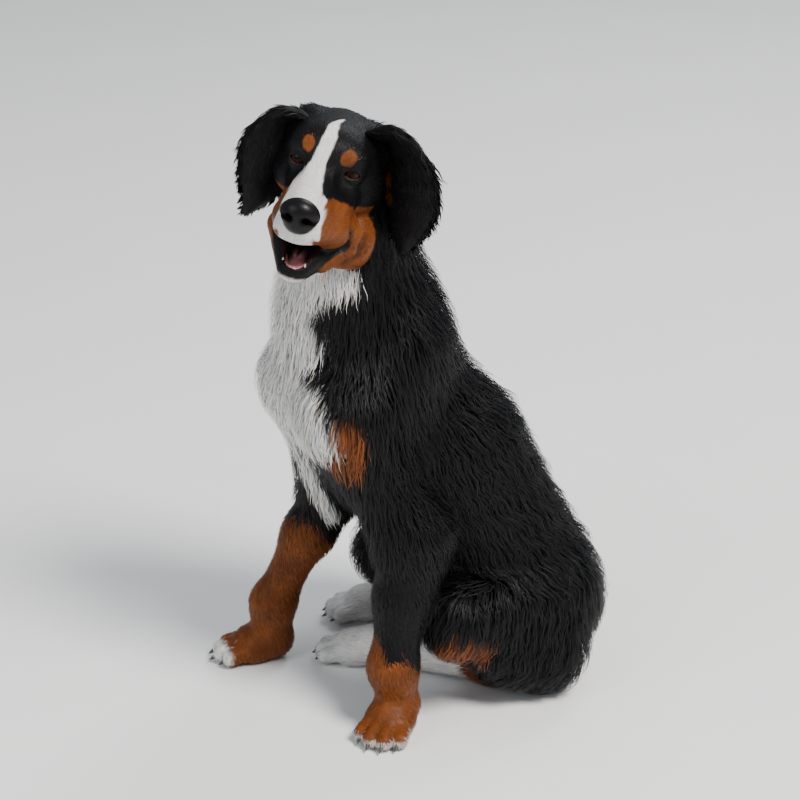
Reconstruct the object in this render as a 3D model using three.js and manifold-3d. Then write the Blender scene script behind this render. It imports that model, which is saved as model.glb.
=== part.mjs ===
// A sitting Bernese mountain dog, life size, as a still museum model.
// Millimetres, +Z up. The dog faces -Y and its left side is +X. It sits on its rump with the
// forelegs straight, and its head is turned to its left. The feet, rump and tail rest on z = 0.
import * as THREE from "three";
import { mergeVertices } from "three/addons/utils/BufferGeometryUtils.js";
import Module from "manifold-3d";

// Driving dimensions.
// Planes across the trunk, leaning with it, where the neck and the rump are parted from it.
const NECK_PLANE = { at: [0, -130, 590], normal: [0, -0.12, 1] };
const WAIST_PLANE = { at: [0, 95, 250], normal: [0, -0.55, 1] };
const GAP = 0.3; // between nodes that touch
const SOLE = 0; // level of everything that rests on the floor
const EYE_RADIUS = 12.5;
const EYE_SIDE = 29.5; // from the middle of the face to an eye's centre
const EYE_TURN = 12; // degrees, outwards
const LID = 2.4; // thickness
const HEAD_AT = [114, -223, 775]; // the point between the eyes
const HEAD_YAW = 56; // degrees, turned to the dog's left
const HEAD_PITCH = 2;
const HEAD_ROLL = 13.4; // its left side is the lower one

const wasm = await Module();
wasm.setup();

const vec = (x, y, z) => new THREE.Vector3(x, y, z);
const radians = THREE.MathUtils.degToRad;
const lerp = THREE.MathUtils.lerp;
const clamp = THREE.MathUtils.clamp;

// Forms: signed distances that are blended into one smooth body.

// A rod with round ends whose radius runs from ra to rb.
function rod(from, to, ra, rb, blend = 40) {
  const a = vec(...from);
  const ab = vec(...to).sub(a);
  const length2 = ab.lengthSq();
  const q = vec(0, 0, 0);
  return {
    blend,
    at(p) {
      q.copy(p).sub(a);
      const t = clamp(q.dot(ab) / length2, 0, 1);
      return q.addScaledVector(ab, -t).length() - lerp(ra, rb, t);
    },
  };
}

// An ellipsoid with half sizes r.
function egg(centre, r, blend = 40) {
  const c = vec(...centre);
  const least = Math.min(...r);
  const q = vec(0, 0, 0);
  return {
    blend,
    at(p) {
      q.copy(p).sub(c);
      const k = Math.hypot(q.x / r[0], q.y / r[1], q.z / r[2]);
      const g = Math.hypot(q.x / r[0] ** 2, q.y / r[1] ** 2, q.z / r[2] ** 2);
      return g > 1e-9 ? (k * (k - 1)) / g : -least;
    },
  };
}

const mirrored = (point) => [-point[0], point[1], point[2]];

// The same rod on both sides of the body.
const rods = (from, to, ra, rb, blend) => [
  rod(from, to, ra, rb, blend),
  rod(mirrored(from), mirrored(to), ra, rb, blend),
];

const eggs = (centre, r, blend) => [
  egg(centre, r, blend),
  egg(mirrored(centre), r, blend),
];

// Joins forms into one field, rounding each crease over its blend.
function blended(forms) {
  return (p) => {
    let d = Infinity;
    for (const form of forms) {
      const e = form.at(p);
      const h = Math.max(form.blend - Math.abs(d - e), 0) / form.blend;
      d = Math.min(d, e) - (Number.isFinite(h) ? (h * h * form.blend) / 4 : 0);
    }
    return d;
  };
}

// The trunk and neck, out to the coat's surface. The limbs have fields of their own.
const SHOULDER = [80, -176, 428];
const ELBOW_LEFT = [116, -112, 272];
const ELBOW_RIGHT = [-112, -130, 268];
const HIP = [72, 104, 136];
const KNEE_LEFT = [118, -44, 142];
const KNEE_RIGHT = [-128, -42, 138];
const SKULL_BASE = [30, -162, 742];

const bodyForms = [
  rod([0, -122, 470], [0, -35, 340], 102, 106, 60),
  rod([0, -162, 450], [0, -108, 335], 84, 82, 60),
  rod([0, -15, 330], [0, 84, 160], 110, 104, 60),
  egg([0, 106, 100], [122, 114, 100], 50),
  rod([0, -94, 540], [0, -86, 470], 66, 80, 50),
  ...rods([34, 20, 250], [62, 62, 150], 78, 84, 60),
  ...rods([56, -92, 505], SHOULDER, 56, 60, 50),
  ...rods(SHOULDER, [92, -150, 370], 60, 50, 50),
  rod([0, -132, 545], SKULL_BASE, 90, 77, 60),
  rod([0, -176, 560], [46, -196, 690], 70, 56, 60),
];
const bodyField = blended(bodyForms);

// Lofts: a closed mesh whose points lie where rays from an axis meet a field.

// The axis is a smooth curve through points; its two ends are closed by domes of rays.
function raysOf(points, rings, sides, domes, side) {
  const curve = new THREE.CatmullRomCurve3(points.map((p) => vec(...p)));
  const rows = [];
  const across = vec(...side);
  for (let i = 1; i < rings; i += 1) {
    const first = i < domes[0];
    const last = i > rings - domes[1];
    let along = (i - domes[0]) / (rings - domes[0] - domes[1]);
    along = clamp(along, 0, 1);
    const tangent = curve.getTangentAt(along);
    const right = across
      .clone()
      .addScaledVector(tangent, -across.dot(tangent))
      .normalize();
    const up = tangent.clone().cross(right);
    let tilt = 0;
    if (first) tilt = (-Math.PI / 2) * (1 - i / domes[0]);
    if (last) tilt = (Math.PI / 2) * (1 - (rings - i) / domes[1]);
    const row = [];
    for (let j = 0; j < sides; j += 1) {
      const turn = (2 * Math.PI * j) / sides;
      const direction = right
        .clone()
        .multiplyScalar(Math.cos(turn) * Math.cos(tilt))
        .addScaledVector(up, Math.sin(turn) * Math.cos(tilt))
        .addScaledVector(tangent, Math.sin(tilt));
      row.push({ origin: curve.getPointAt(along), direction });
    }
    rows.push(row);
  }
  const poles = [0, 1].map((end) => ({
    origin: curve.getPointAt(end),
    direction: curve.getTangentAt(end).multiplyScalar(end ? 1 : -1),
  }));
  return { rows, poles };
}

// Walks out along a ray to where the field reaches the level.
function meet({ origin, direction }, field, level) {
  const p = vec(0, 0, 0);
  const at = (t) =>
    field(p.copy(origin).addScaledVector(direction, t)) - level;
  let inner = 0;
  let outer = 0;
  for (let step = 0; step < 200; step += 1) {
    const d = at(outer);
    if (d >= 0) break;
    inner = outer;
    outer += Math.max(-d * 0.7, 0.6);
  }
  for (let step = 0; step < 18; step += 1) {
    const middle = (inner + outer) / 2;
    if (at(middle) < 0) inner = middle;
    else outer = middle;
  }
  return origin.clone().addScaledVector(direction, (inner + outer) / 2);
}

function solidOf(points, triangles) {
  const geometry = new THREE.BufferGeometry().setFromPoints(points);
  geometry.setIndex(triangles);
  return solidOfGeometry(geometry);
}

function solidOfGeometry(source) {
  const geometry = source.clone();
  geometry.deleteAttribute("normal");
  geometry.deleteAttribute("uv");
  const merged = mergeVertices(geometry, 1e-4);
  const mesh = new wasm.Mesh({
    numProp: 3,
    vertProperties: merged.attributes.position.array,
    triVerts: new Uint32Array(merged.index.array),
  });
  return new wasm.Manifold(mesh);
}

// Triangles of a tube of rows closed by a pole at each end: the poles are the last two points.
function tubeTriangles(rows, sides) {
  const triangles = [];
  const id = (i, j) => i * sides + (j % sides);
  for (let i = 0; i < rows - 1; i += 1) {
    for (let j = 0; j < sides; j += 1) {
      const a = id(i, j);
      const b = id(i, j + 1);
      const c = id(i + 1, j);
      const d = id(i + 1, j + 1);
      triangles.push(a, b, c, b, d, c);
    }
  }
  const start = rows * sides;
  for (let j = 0; j < sides; j += 1) {
    triangles.push(start, id(0, j + 1), id(0, j));
    triangles.push(start + 1, id(rows - 1, j), id(rows - 1, j + 1));
  }
  return triangles;
}

// A loft as a function of how far it is grown past the field's surface.
function loft({ axis, field, rings, sides, domes = [4, 4], side = [1, 0, 0] }) {
  const { rows, poles } = raysOf(axis, rings, sides, domes, side);
  const made = new Map();
  return (grow = 0) => {
    if (!made.has(grow)) {
      const points = [...rows.flat(), ...poles].map((ray) =>
        meet(ray, field, grow),
      );
      made.set(grow, solidOf(points, tubeTriangles(rows.length, sides)));
    }
    return made.get(grow);
  };
}

// A tube through given cross sections, each a list of points, with a point at each end.
function tube(sections, start, end) {
  const sides = sections[0].length;
  const triangles = tubeTriangles(sections.length, sides);
  const made = solidOf([...sections.flat(), start, end], triangles);
  if (made.volume() > 0) return made;
  const flipped = sections.map((row) => [...row].reverse());
  return solidOf([...flipped.flat(), start, end], triangles);
}

// A box that holds everything on one side of a plane.
function halfSpace(point, normal) {
  const size = 3000;
  const box = new THREE.BoxGeometry(size, size, size);
  box.translate(0, 0, -size / 2);
  const turn = new THREE.Quaternion().setFromUnitVectors(
    vec(0, 0, 1),
    vec(...normal).normalize(),
  );
  box.applyQuaternion(turn).translate(...point);
  return solidOfGeometry(box);
}

// Points are rounded to steps of weld, so that those that meet become one, and triangles that
// shrink to nothing are dropped.
function weldedGeometry(solid, weld) {
  const { vertProperties, triVerts } = solid.getMesh();
  const geometry = new THREE.BufferGeometry();
  const flat = Float32Array.from(vertProperties, (c) => Math.round(c / weld) * weld);
  geometry.setAttribute("position", new THREE.BufferAttribute(flat, 3));
  geometry.setIndex([...triVerts]);
  const welded = mergeVertices(geometry, weld / 4);
  const index = welded.index.array;
  const kept = [];
  for (let t = 0; t < index.length; t += 3) {
    const [a, b, c] = index.slice(t, t + 3);
    if (a !== b && b !== c && c !== a) kept.push(a, b, c);
  }
  welded.setIndex(kept);
  return welded;
}

// Whether each edge lies between two triangles, not four.
function isClosed(geometry) {
  const index = geometry.index.array;
  const uses = new Map();
  for (let t = 0; t < index.length; t += 3) {
    for (const [i, j] of [[0, 1], [1, 2], [2, 0]]) {
      const ends = [index[t + i], index[t + j]].sort((a, b) => a - b).join();
      uses.set(ends, (uses.get(ends) ?? 0) + 1);
    }
  }
  return [...uses.values()].every((count) => count === 2);
}

// The largest closed body of a solid, welded as finely as keeps it closed.
const WELDS = [0.002, 0.005, 0.01, 0.02, 0.05];
const biggest = (solid) =>
  solid.decompose().reduce((a, b) => (a.volume() > b.volume() ? a : b));
function largest(solid) {
  let geometry = null;
  for (const weld of WELDS) {
    const once = weldedGeometry(biggest(solid), weld);
    geometry = weldedGeometry(biggest(solidOfGeometry(once)), weld);
    if (isClosed(geometry)) break;
  }
  return geometry;
}

const floor = halfSpace([0, 0, SOLE], [0, 0, 1]);
const aboveFloor = (solid) => solid.subtract(floor);

// Trunk and neck.

const bodyAxis = [
  [0, 118, 92],
  [0, 62, 200],
  [0, -20, 320],
  [0, -92, 430],
  [2, -128, 540],
  [14, -146, 640],
  [27, -160, 735],
];
const body = loft({ axis: bodyAxis, field: bodyField, rings: 20, sides: 15 });

const below = ({ at, normal }, shift) =>
  halfSpace([at[0], at[1], at[2] + shift], normal);
const isAbove = ({ at, normal }, p) =>
  (p.z - at[2]) * normal[2] + (p.y - at[1]) * normal[1] > 0;

// Legs.

// A paw with four toes, its wrist end at `at`, pointing along heading degrees from -Y.
function pawForms(at, heading, size) {
  const turn = radians(heading);
  const place = (side, ahead, up) => [
    at[0] + (side * Math.cos(turn) + ahead * Math.sin(turn)) * size,
    at[1] + (side * Math.sin(turn) - ahead * Math.cos(turn)) * size,
    up * size,
  ];
  const toes = [-28, -10, 10, 28].map((side, i) => {
    const reach = i === 0 || i === 3 ? 34 : 46;
    return rod(
      place(side * 0.7, reach - 34, 24),
      place(side, reach, 15),
      16,
      14,
      6,
    );
  });
  return [
    rod(place(0, -34, 30), place(0, 4, 24), 27, 27, 24),
    rod(place(-13, -2, 22), place(13, -2, 22), 24, 24, 18),
    ...toes,
  ];
}

const clawsOf = (at, heading, size) => {
  const turn = radians(heading);
  return [-28, -10, 10, 28].map((side, i) => {
    const reach = i === 0 || i === 3 ? 44 : 56;
    const claw = new THREE.ConeGeometry(3.4 * size, 17 * size, 5);
    claw.rotateX(radians(112));
    claw.translate(side * size, -reach * size, 10 * size);
    claw.rotateZ(turn).translate(at[0], at[1], 0);
    return solidOfGeometry(claw);
  });
};

const WRIST_LEFT = [126, -130, 90];
const WRIST_RIGHT = [-124, -218, 86];
const FOREPAWS = {
  left: { at: [134, -148, 0], heading: 46, size: 0.94, wrist: WRIST_LEFT },
  right: { at: [-136, -246, 0], heading: -14, size: 0.94, wrist: WRIST_RIGHT },
};

// Upper arm, elbow and forearm in one.
function forelegForms(elbow, shoulder, wrist) {
  const top = shoulder.map((c, i) => lerp(elbow[i], c, 0.8));
  const middle = elbow.map((c, i) => lerp(c, wrist[i], 0.45));
  const back = [elbow[0], elbow[1] + 28, elbow[2]];
  const formsAt = (sunk) => [
    rod(top, elbow, 58 - 14 * sunk, 50 - 11 * sunk, 30),
    rod(elbow, middle, 46 - 9 * sunk, 36 - 4 * sunk, 40),
    rod(middle, wrist, 35 - 3 * sunk, 31 - sunk, 30),
    rod(back, [middle[0], middle[1] + 14, middle[2]], 32 - 12 * sunk, 24 - 8 * sunk, 30),
  ];
  const axis = [top, elbow, middle, wrist];
  return { axis, forms: formsAt(0), coreForms: formsAt(1) };
}
const foreleg = ({ axis, coreForms }) =>
  loft({ axis, field: blended(coreForms), rings: 19, sides: 10 });

function forepaw({ at, heading, size, wrist }) {
  const turn = radians(heading);
  const forward = [Math.sin(turn), -Math.cos(turn)];
  const heel = [at[0] - forward[0] * 26, at[1] - forward[1] * 26, 34];
  const tip = [at[0] + forward[0] * 26, at[1] + forward[1] * 26, 20];
  return loft({
    axis: [wrist, heel, tip],
    field: blended([
      rod(wrist, heel, 33, 28, 20),
      ...pawForms(at, heading, size),
    ]),
    rings: 12,
    sides: 13,
    domes: [2, 4],
    side: [Math.cos(turn), Math.sin(turn), 0],
  });
}

const HOCK_LEFT = [66, 32, 38];
const HOCK_RIGHT = [-132, 118, 38];
const HINDPAWS = {
  left: { at: [-76, -118, 0], heading: -43, size: 0.92, hock: HOCK_LEFT },
  right: { at: [-196, -58, 0], heading: -20, size: 0.92, hock: HOCK_RIGHT },
};

function hindFoot({ at, heading, size, hock }, knee) {
  const turn = radians(heading);
  const forward = [Math.sin(turn), -Math.cos(turn)];
  const heel = [at[0] - forward[0] * 30, at[1] - forward[1] * 30, 30];
  const tip = [at[0] + forward[0] * 24, at[1] + forward[1] * 24, 18];
  return loft({
    axis: [hock, hock.map((c, i) => lerp(c, heel[i], 0.5)), heel, tip],
    field: blended([
      rod(knee, hock, 36, 30, 30),
      rod(hock, heel, 30, 26, 24),
      ...pawForms(at, heading, size),
    ]),
    rings: 13,
    sides: 13,
    domes: [2, 4],
    side: [Math.cos(turn), Math.sin(turn), 0],
  });
}

function shank(hock, knee) {
  return loft({
    axis: [knee, hock.map((c, i) => lerp(c, knee[i], 0.5)), hock],
    field: blended([rod(knee, hock, 36, 31, 30)]),
    rings: 7,
    sides: 10,
    domes: [2, 2],
  });
}

// The thigh with the long hair that hangs from it to the floor.
function thighForms(hip, knee) {
  const outer = Math.sign(hip[0]);
  const low = [hip[0] + 26 * outer, hip[1] - 18, 66];
  const forms = [
    rod(hip, knee, 80, 62, 40),
    rod(low, [low[0] + 8 * outer, 34, 74], 70, 56, 40),
  ];
  return { axis: [hip, [(hip[0] + knee[0]) / 2, 32, 128], knee], forms };
}
const thigh = ({ axis, forms }) =>
  loft({
    axis,
    field: blended(forms),
    rings: 13,
    sides: 12,
    side: [0, 0, 1],
  });

// Tail: it lies round the right haunch on the floor.
const TAIL = [
  [-24, 170, 62],
  [-76, 208, 42],
  [-144, 206, 38],
  [-204, 152, 38],
  [-232, 76, 34],
  [-236, 20, 28],
];
const TAIL_RADII = [36, 36, 39, 38, 31, 18];
const tailForms = TAIL.slice(1).map((to, i) =>
  rod(TAIL[i], to, TAIL_RADII[i], TAIL_RADII[i + 1], 30),
);
const tail = loft({
  axis: TAIL,
  field: blended(tailForms),
  rings: 15,
  sides: 8,
  domes: [3, 3],
  side: [0, 0, 1],
});

// Head, in its own frame: X to its left, Y backwards, Z up, from the point between the eyes.

const headTurn = new THREE.Matrix4()
  .makeTranslation(...HEAD_AT)
  .multiply(new THREE.Matrix4().makeRotationZ(radians(HEAD_YAW)))
  .multiply(new THREE.Matrix4().makeRotationX(radians(HEAD_PITCH)))
  .multiply(new THREE.Matrix4().makeRotationY(radians(HEAD_ROLL)));
const placed = (solid) => solid.transform([...headTurn.elements]);

const skullForms = [
  egg([0, 54, 8], [62, 72, 46], 20),
  egg([0, 14, 16], [44, 34, 30], 24),
  ...eggs([36, 48, -30], [38, 46, 38], 24),
  ...rods([20, 4, 21], [34, 6, 18], 13, 12, 14),
];
const muzzleForms = [
  rod([0, -10, -18], [0, -80, -30], 29, 21, 26),
  ...rods([16, -76, -44], [27, -26, -50], 17, 23, 20),
  ...rods([27, -26, -54], [42, 2, -62], 21, 20, 20),
  rod([0, -86, -44], [0, -70, -46], 13, 18, 12),
];
const headField = blended([...skullForms, ...muzzleForms]);
const head = loft({
  axis: [
    [0, 84, -4],
    [0, 40, -10],
    [0, 0, -16],
    [0, -44, -30],
    [0, -78, -36],
  ],
  field: headField,
  rings: 24,
  sides: 26,
  domes: [2, 5],
});

// The mouth is open: the upper lips hang as a wall round this hollow.
const mouth = loft({
  axis: [
    [0, -68, -72],
    [0, -40, -72],
    [0, -8, -72],
  ],
  field: blended([
    rod([0, -66, -68], [0, -12, -66], 17, 25, 10),
    rod([0, -66, -90], [0, -12, -90], 18, 30, 10),
  ]),
  rings: 10,
  sides: 12,
  domes: [3, 3],
});

const JAW_HINGE = [0, 34, -68];
const jawForms = [
  rod([0, -60, -112], [0, -28, -106], 14, 20, 16),
  rod([0, -28, -106], JAW_HINGE, 20, 36, 20),
  ...rods([10, -56, -108], [36, 8, -88], 11, 22, 20),
];
const jaw = loft({
  axis: [
    [0, -56, -111],
    [0, -20, -102],
    [0, 30, -78],
  ],
  field: blended(jawForms),
  rings: 12,
  sides: 12,
  domes: [2, 4],
});
const jawTrough = loft({
  axis: [
    [0, -56, -100],
    [0, -20, -93],
    [0, 10, -82],
  ],
  field: blended([
    rod([0, -57, -96], [0, -10, -88], 11, 22, 10),
    rod([0, -10, -88], [0, 10, -76], 22, 22, 10),
  ]),
  rings: 8,
  sides: 10,
  domes: [2, 2],
});
const tongue = loft({
  axis: [
    [0, -48, -101],
    [0, -20, -94],
    [0, 6, -84],
  ],
  field: blended([
    egg([0, -38, -100], [13, 24, 5], 8),
    egg([0, -8, -90], [17, 34, 8], 10),
  ]),
  rings: 9,
  sides: 10,
  domes: [3, 3],
});

const noseField = blended([
  egg([0, -95, -26], [24, 14, 16.5], 8),
  egg([0, -99, -23], [16, 11, 13], 8),
  egg([0, -92, -37], [14, 12, 12], 8),
]);
const nose = loft({
  axis: [
    [0, -88, -27],
    [0, -94, -27],
    [0, -97, -27],
  ],
  field: noseField,
  rings: 9,
  sides: 14,
  domes: [2, 4],
});
const nostril = (side) =>
  loft({
    axis: [
      [side * 9, -104, -28],
      [side * 12, -99, -27],
      [side * 16, -96, -26],
    ],
    field: blended([
      rod([side * 8.5, -110, -27], [side * 10, -101, -28], 4.6, 4.2, 2),
      rod([side * 10, -103, -28], [side * 19, -99, -29], 3.8, 2.4, 3),
    ]),
    rings: 6,
    sides: 6,
    domes: [2, 2],
  });

// Eyes, with lids as a shell round each ball, open along an almond.
function ball(centre, radius) {
  const sphere = new THREE.SphereGeometry(radius, 12, 8);
  sphere.rotateX(Math.PI / 2).translate(...centre);
  return solidOfGeometry(sphere);
}
const eyeAt = (side) => [side * EYE_SIDE, 5, 2];
function almond(side) {
  const shape = new THREE.Shape();
  shape.moveTo(-12.5 * side, -1);
  shape.quadraticCurveTo(-1 * side, 15, 12.5 * side, -2);
  shape.quadraticCurveTo(1 * side, -13, -12.5 * side, -1);
  const opening = new THREE.ExtrudeGeometry(shape, {
    depth: 40,
    bevelEnabled: false,
    curveSegments: 5,
  });
  opening.rotateX(Math.PI / 2).rotateZ(radians(EYE_TURN * side));
  opening.translate(...eyeAt(side));
  return solidOfGeometry(opening);
}

// Ears: a hanging leaf of skin, hollowed on its inner face.
const earMiddle = (side, line) =>
  new THREE.CatmullRomCurve3(
    line.map(({ at }) => vec(side * at[0], at[1], at[2])),
  );
function ear(side, line) {
  const middle = earMiddle(side, line);
  const steps = 10;
  const sides = 12;
  const pick = (key, t) => {
    const place = t * (line.length - 1);
    const i = Math.min(Math.floor(place), line.length - 2);
    return lerp(line[i][key], line[i + 1][key], place - i);
  };
  return (grow = 0) => {
    const sections = [];
    for (let i = 1; i < steps; i += 1) {
      const t = i / steps;
      const point = middle.getPoint(t);
      const tangent = middle.getTangent(t);
      const back = vec(0, 1, 0)
        .addScaledVector(tangent, -tangent.y)
        .applyAxisAngle(tangent, -side * radians(pick("twist", t)))
        .normalize();
      const out = tangent.clone().cross(back).multiplyScalar(-side);
      const half = pick("half", t) + grow;
      const thick = pick("thick", t) + grow;
      const row = [];
      for (let j = 0; j < sides; j += 1) {
        const turn = (2 * Math.PI * j * side) / sides;
        const across = Math.cos(turn);
        const cup = pick("cup", t) * (across * across - 0.4);
        row.push(
          point
            .clone()
            .addScaledVector(back, half * across)
            .addScaledVector(out, thick * Math.sin(turn) - cup),
        );
      }
      sections.push(row);
    }
    const tips = [0, 1].map((end) =>
      middle
        .getPoint(end)
        .addScaledVector(middle.getTangent(end), end ? grow : -grow),
    );
    return tube(sections, ...tips);
  };
}
const EAR_LEFT = [
  { at: [36, 56, 44], half: 20, thick: 10, cup: 0, twist: 10 },
  { at: [66, 54, 42], half: 38, thick: 13, cup: 2, twist: 30 },
  { at: [92, 50, 14], half: 50, thick: 14, cup: 5, twist: 44 },
  { at: [102, 48, -26], half: 50, thick: 12, cup: 6, twist: 48 },
  { at: [102, 44, -66], half: 36, thick: 9, cup: 5, twist: 46 },
  { at: [100, 40, -98], half: 10, thick: 4, cup: 2, twist: 40 },
];
const EAR_RIGHT = [
  { at: [34, 56, 38], half: 20, thick: 10, cup: 0, twist: 10 },
  { at: [58, 54, 32], half: 32, thick: 12, cup: 2, twist: 30 },
  { at: [73, 52, 4], half: 40, thick: 13, cup: 5, twist: 44 },
  { at: [74, 50, -34], half: 40, thick: 11, cup: 6, twist: 46 },
  { at: [76, 48, -74], half: 30, thick: 8, cup: 5, twist: 44 },
  { at: [90, 46, -108], half: 8, thick: 4, cup: 2, twist: 40 },
];

const FRINGE_PER_EAR = 6;
const FRINGE_STEPS = 8;
const FRINGE_ROOT = { 1: 0.7, [-1]: 0.4 }; // how far out on the ear's half width

function lowerTeeth() {
  const teeth = [];
  for (const side of [-1, 1]) {
    const canine = new THREE.ConeGeometry(3.6, 19, 5);
    canine.rotateX(radians(90)).rotateY(radians(8 * side));
    canine.translate(side * 14, -62, -96);
    teeth.push(solidOfGeometry(canine));
    for (const place of [3, 8]) {
      const incisor = new THREE.ConeGeometry(2.6, 9, 4).rotateX(radians(90));
      incisor.translate(side * place, -70 + place * 0.4, -98);
      teeth.push(solidOfGeometry(incisor));
    }
  }
  return teeth;
}

// Long coat, in locks: flat, tapered blades that lie along the body. Each has its root in the
// node's core and its tip at the coat's surface, over the roots of the next row.

const LOCKS = {
  trunk: { length: 148, half: 32, thick: 14, tip: 8 },
  haunch: { length: 120, half: 36, thick: 13, tip: 6 },
  arm: { length: 96, half: 26, thick: 11, tip: 3 },
  feather: { length: 70, half: 13, thick: 8, tip: 10 },
  tail: { length: 96, half: 22, thick: 11, tip: 3 },
  fringe: { length: 44, half: 11, thick: 7, tip: 0 },
};
const CORE_DEPTH = { trunk: 22, haunch: 18, arm: 12, feather: 4, tail: 13 };
const ROOT_SINK = 9; // below the core's surface
const BURIED = 14; // a root this much deeper lies inside another limb
const LOCK_STATIONS = [0, 0.3, 0.62, 0.86];
const LOCK_WIDTHS = [0.6, 1, 0.86, 0.5];
const LOCK_HEIGHTS = [0.8, 1, 0.8, 0.5];

// A repeatable sequence of numbers between 0 and 1.
function sequence(seed) {
  let state = seed;
  return () => {
    state = (state * 1664525 + 1013904223) % 4294967296;
    return state / 4294967296;
  };
}
const chance = sequence(11);
const around = (middle, spread) => middle + (chance() - 0.5) * 2 * spread;

const GRADIENT_STEP = 2;
function gradient(field, p) {
  const g = vec(0, 0, 0);
  const q = vec(0, 0, 0);
  for (const axis of ["x", "y", "z"]) {
    q.copy(p);
    q[axis] += GRADIENT_STEP;
    const more = field(q);
    q[axis] -= 2 * GRADIENT_STEP;
    g[axis] = (more - field(q)) / (2 * GRADIENT_STEP);
  }
  return g;
}

// The line a lock follows, as points with the coat's outward direction at each.
function lockLine(field, root, lie, size, depth) {
  const steps = 10;
  const from = -depth - ROOT_SINK;
  const phase = chance() * Math.PI * 2;
  const lean = around(0, 0.22);
  const length = size.length * around(1, 0.12);
  const p = root.clone();
  const line = [];
  for (let i = 0; i <= steps; i += 1) {
    const t = i / steps;
    const level = lerp(from, size.tip - size.thick * 0.3, 1 - (1 - t) ** 2.4);
    const g = gradient(field, p);
    p.addScaledVector(g, (level - field(p)) / Math.max(g.lengthSq(), 0.2));
    const out = g.normalize();
    line.push({ at: p.clone(), out: out.clone() });
    const way = lie(p).clone();
    way.addScaledVector(out, -way.dot(out)).normalize();
    way.applyAxisAngle(out, lean + 0.3 * Math.sin(t * 6 + phase));
    p.addScaledVector(way, length / steps);
  }
  return line;
}

// The blade along the line: flat beneath, with a ridge along its outer side. A grown blade
// clears the other by grow on each slanted face, so its thin edges and tip reach further.
const EDGE_GROWTH = 8;
const FACE_GROWTH = 2;
const TIP_GROWTH = 8;
function lockBlade(line, size, grow) {
  const last = line.length - 1;
  const at = (t) => {
    const i = Math.min(Math.floor(t * last), last - 1);
    const part = t * last - i;
    return {
      point: line[i].at.clone().lerp(line[i + 1].at, part),
      way: line[i + 1].at.clone().sub(line[i].at).normalize(),
      out: line[i].out.clone().lerp(line[i + 1].out, part).normalize(),
    };
  };
  const sections = LOCK_STATIONS.map((t, k) => {
    const { point, way, out } = at(t);
    const across = way.clone().cross(out).normalize();
    const half = size.half * LOCK_WIDTHS[k] + grow * EDGE_GROWTH;
    const low = -size.thick * LOCK_HEIGHTS[k] * 0.35 - grow * FACE_GROWTH;
    const high = size.thick * LOCK_HEIGHTS[k] * 0.65 + grow * FACE_GROWTH;
    return [
      point.clone().addScaledVector(across, half).addScaledVector(out, low),
      point.clone().addScaledVector(out, high),
      point.clone().addScaledVector(across, -half).addScaledVector(out, low),
    ];
  });
  const first = at(0);
  const start = first.point.clone().addScaledVector(first.way, -2 - grow);
  const tip = line[last].at.clone().addScaledVector(at(0.98).way, grow * TIP_GROWTH);
  return tube(sections, start, tip);
}

function bladesOf(line, size) {
  const solid = lockBlade(line, size, 0);
  const grown = lockBlade(line, size, GAP).add(solid);
  return { root: line[0].at, solid, grown };
}

// A lock folds over itself where its line turns sharply, as in a crease between limbs, and is
// left out there: its line kinks, or its blade holds less than it should.
const SHARP_TURN = 0.8; // cosine between neighbouring steps
const LEAST_SHARE = 0.3; // of the box round a straight blade
function isSound(line, size, solid) {
  const whole = size.length * size.half * size.thick;
  const bends = line.slice(2).map(({ at }, i) => {
    const before = line[i + 1].at.clone().sub(line[i].at).normalize();
    return at.clone().sub(line[i + 1].at).normalize().dot(before);
  });
  return Math.min(...bends) > SHARP_TURN && solid.volume() > LEAST_SHARE * whole;
}

// Rows of locks round an axis: every other row is set half a step round.
function rowsOfLocks(spec) {
  const { axis, field, coat, rows, count, size, depth, lie, keep } = spec;
  const { side = [1, 0, 0], arc = [0, 1] } = spec;
  const curve = new THREE.CatmullRomCurve3(axis.map((p) => vec(...p)));
  const across = vec(...side);
  const locks = [];
  rows.forEach((along, row) => {
    const origin = curve.getPointAt(along);
    const tangent = curve.getTangentAt(along);
    const right = across
      .clone()
      .addScaledVector(tangent, -across.dot(tangent))
      .normalize();
    const up = tangent.clone().cross(right);
    for (let k = 0; k < count; k += 1) {
      const share = (k + (row % 2) / 2 + around(0.25, 0.12)) / count;
      const turn = 2 * Math.PI * lerp(arc[0], arc[1], share);
      const direction = right
        .clone()
        .multiplyScalar(Math.cos(turn))
        .addScaledVector(up, Math.sin(turn));
      const root = meet({ origin, direction }, field, -depth - ROOT_SINK);
      const buried = coat(root) < -depth - ROOT_SINK - BURIED;
      if (buried || !keep(root)) continue;
      const line = lockLine(coat, root, lie, size, depth);
      const made = bladesOf(line, size);
      if (isSound(line, size, made.solid)) locks.push(made);
    }
  });
  return locks;
}

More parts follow.
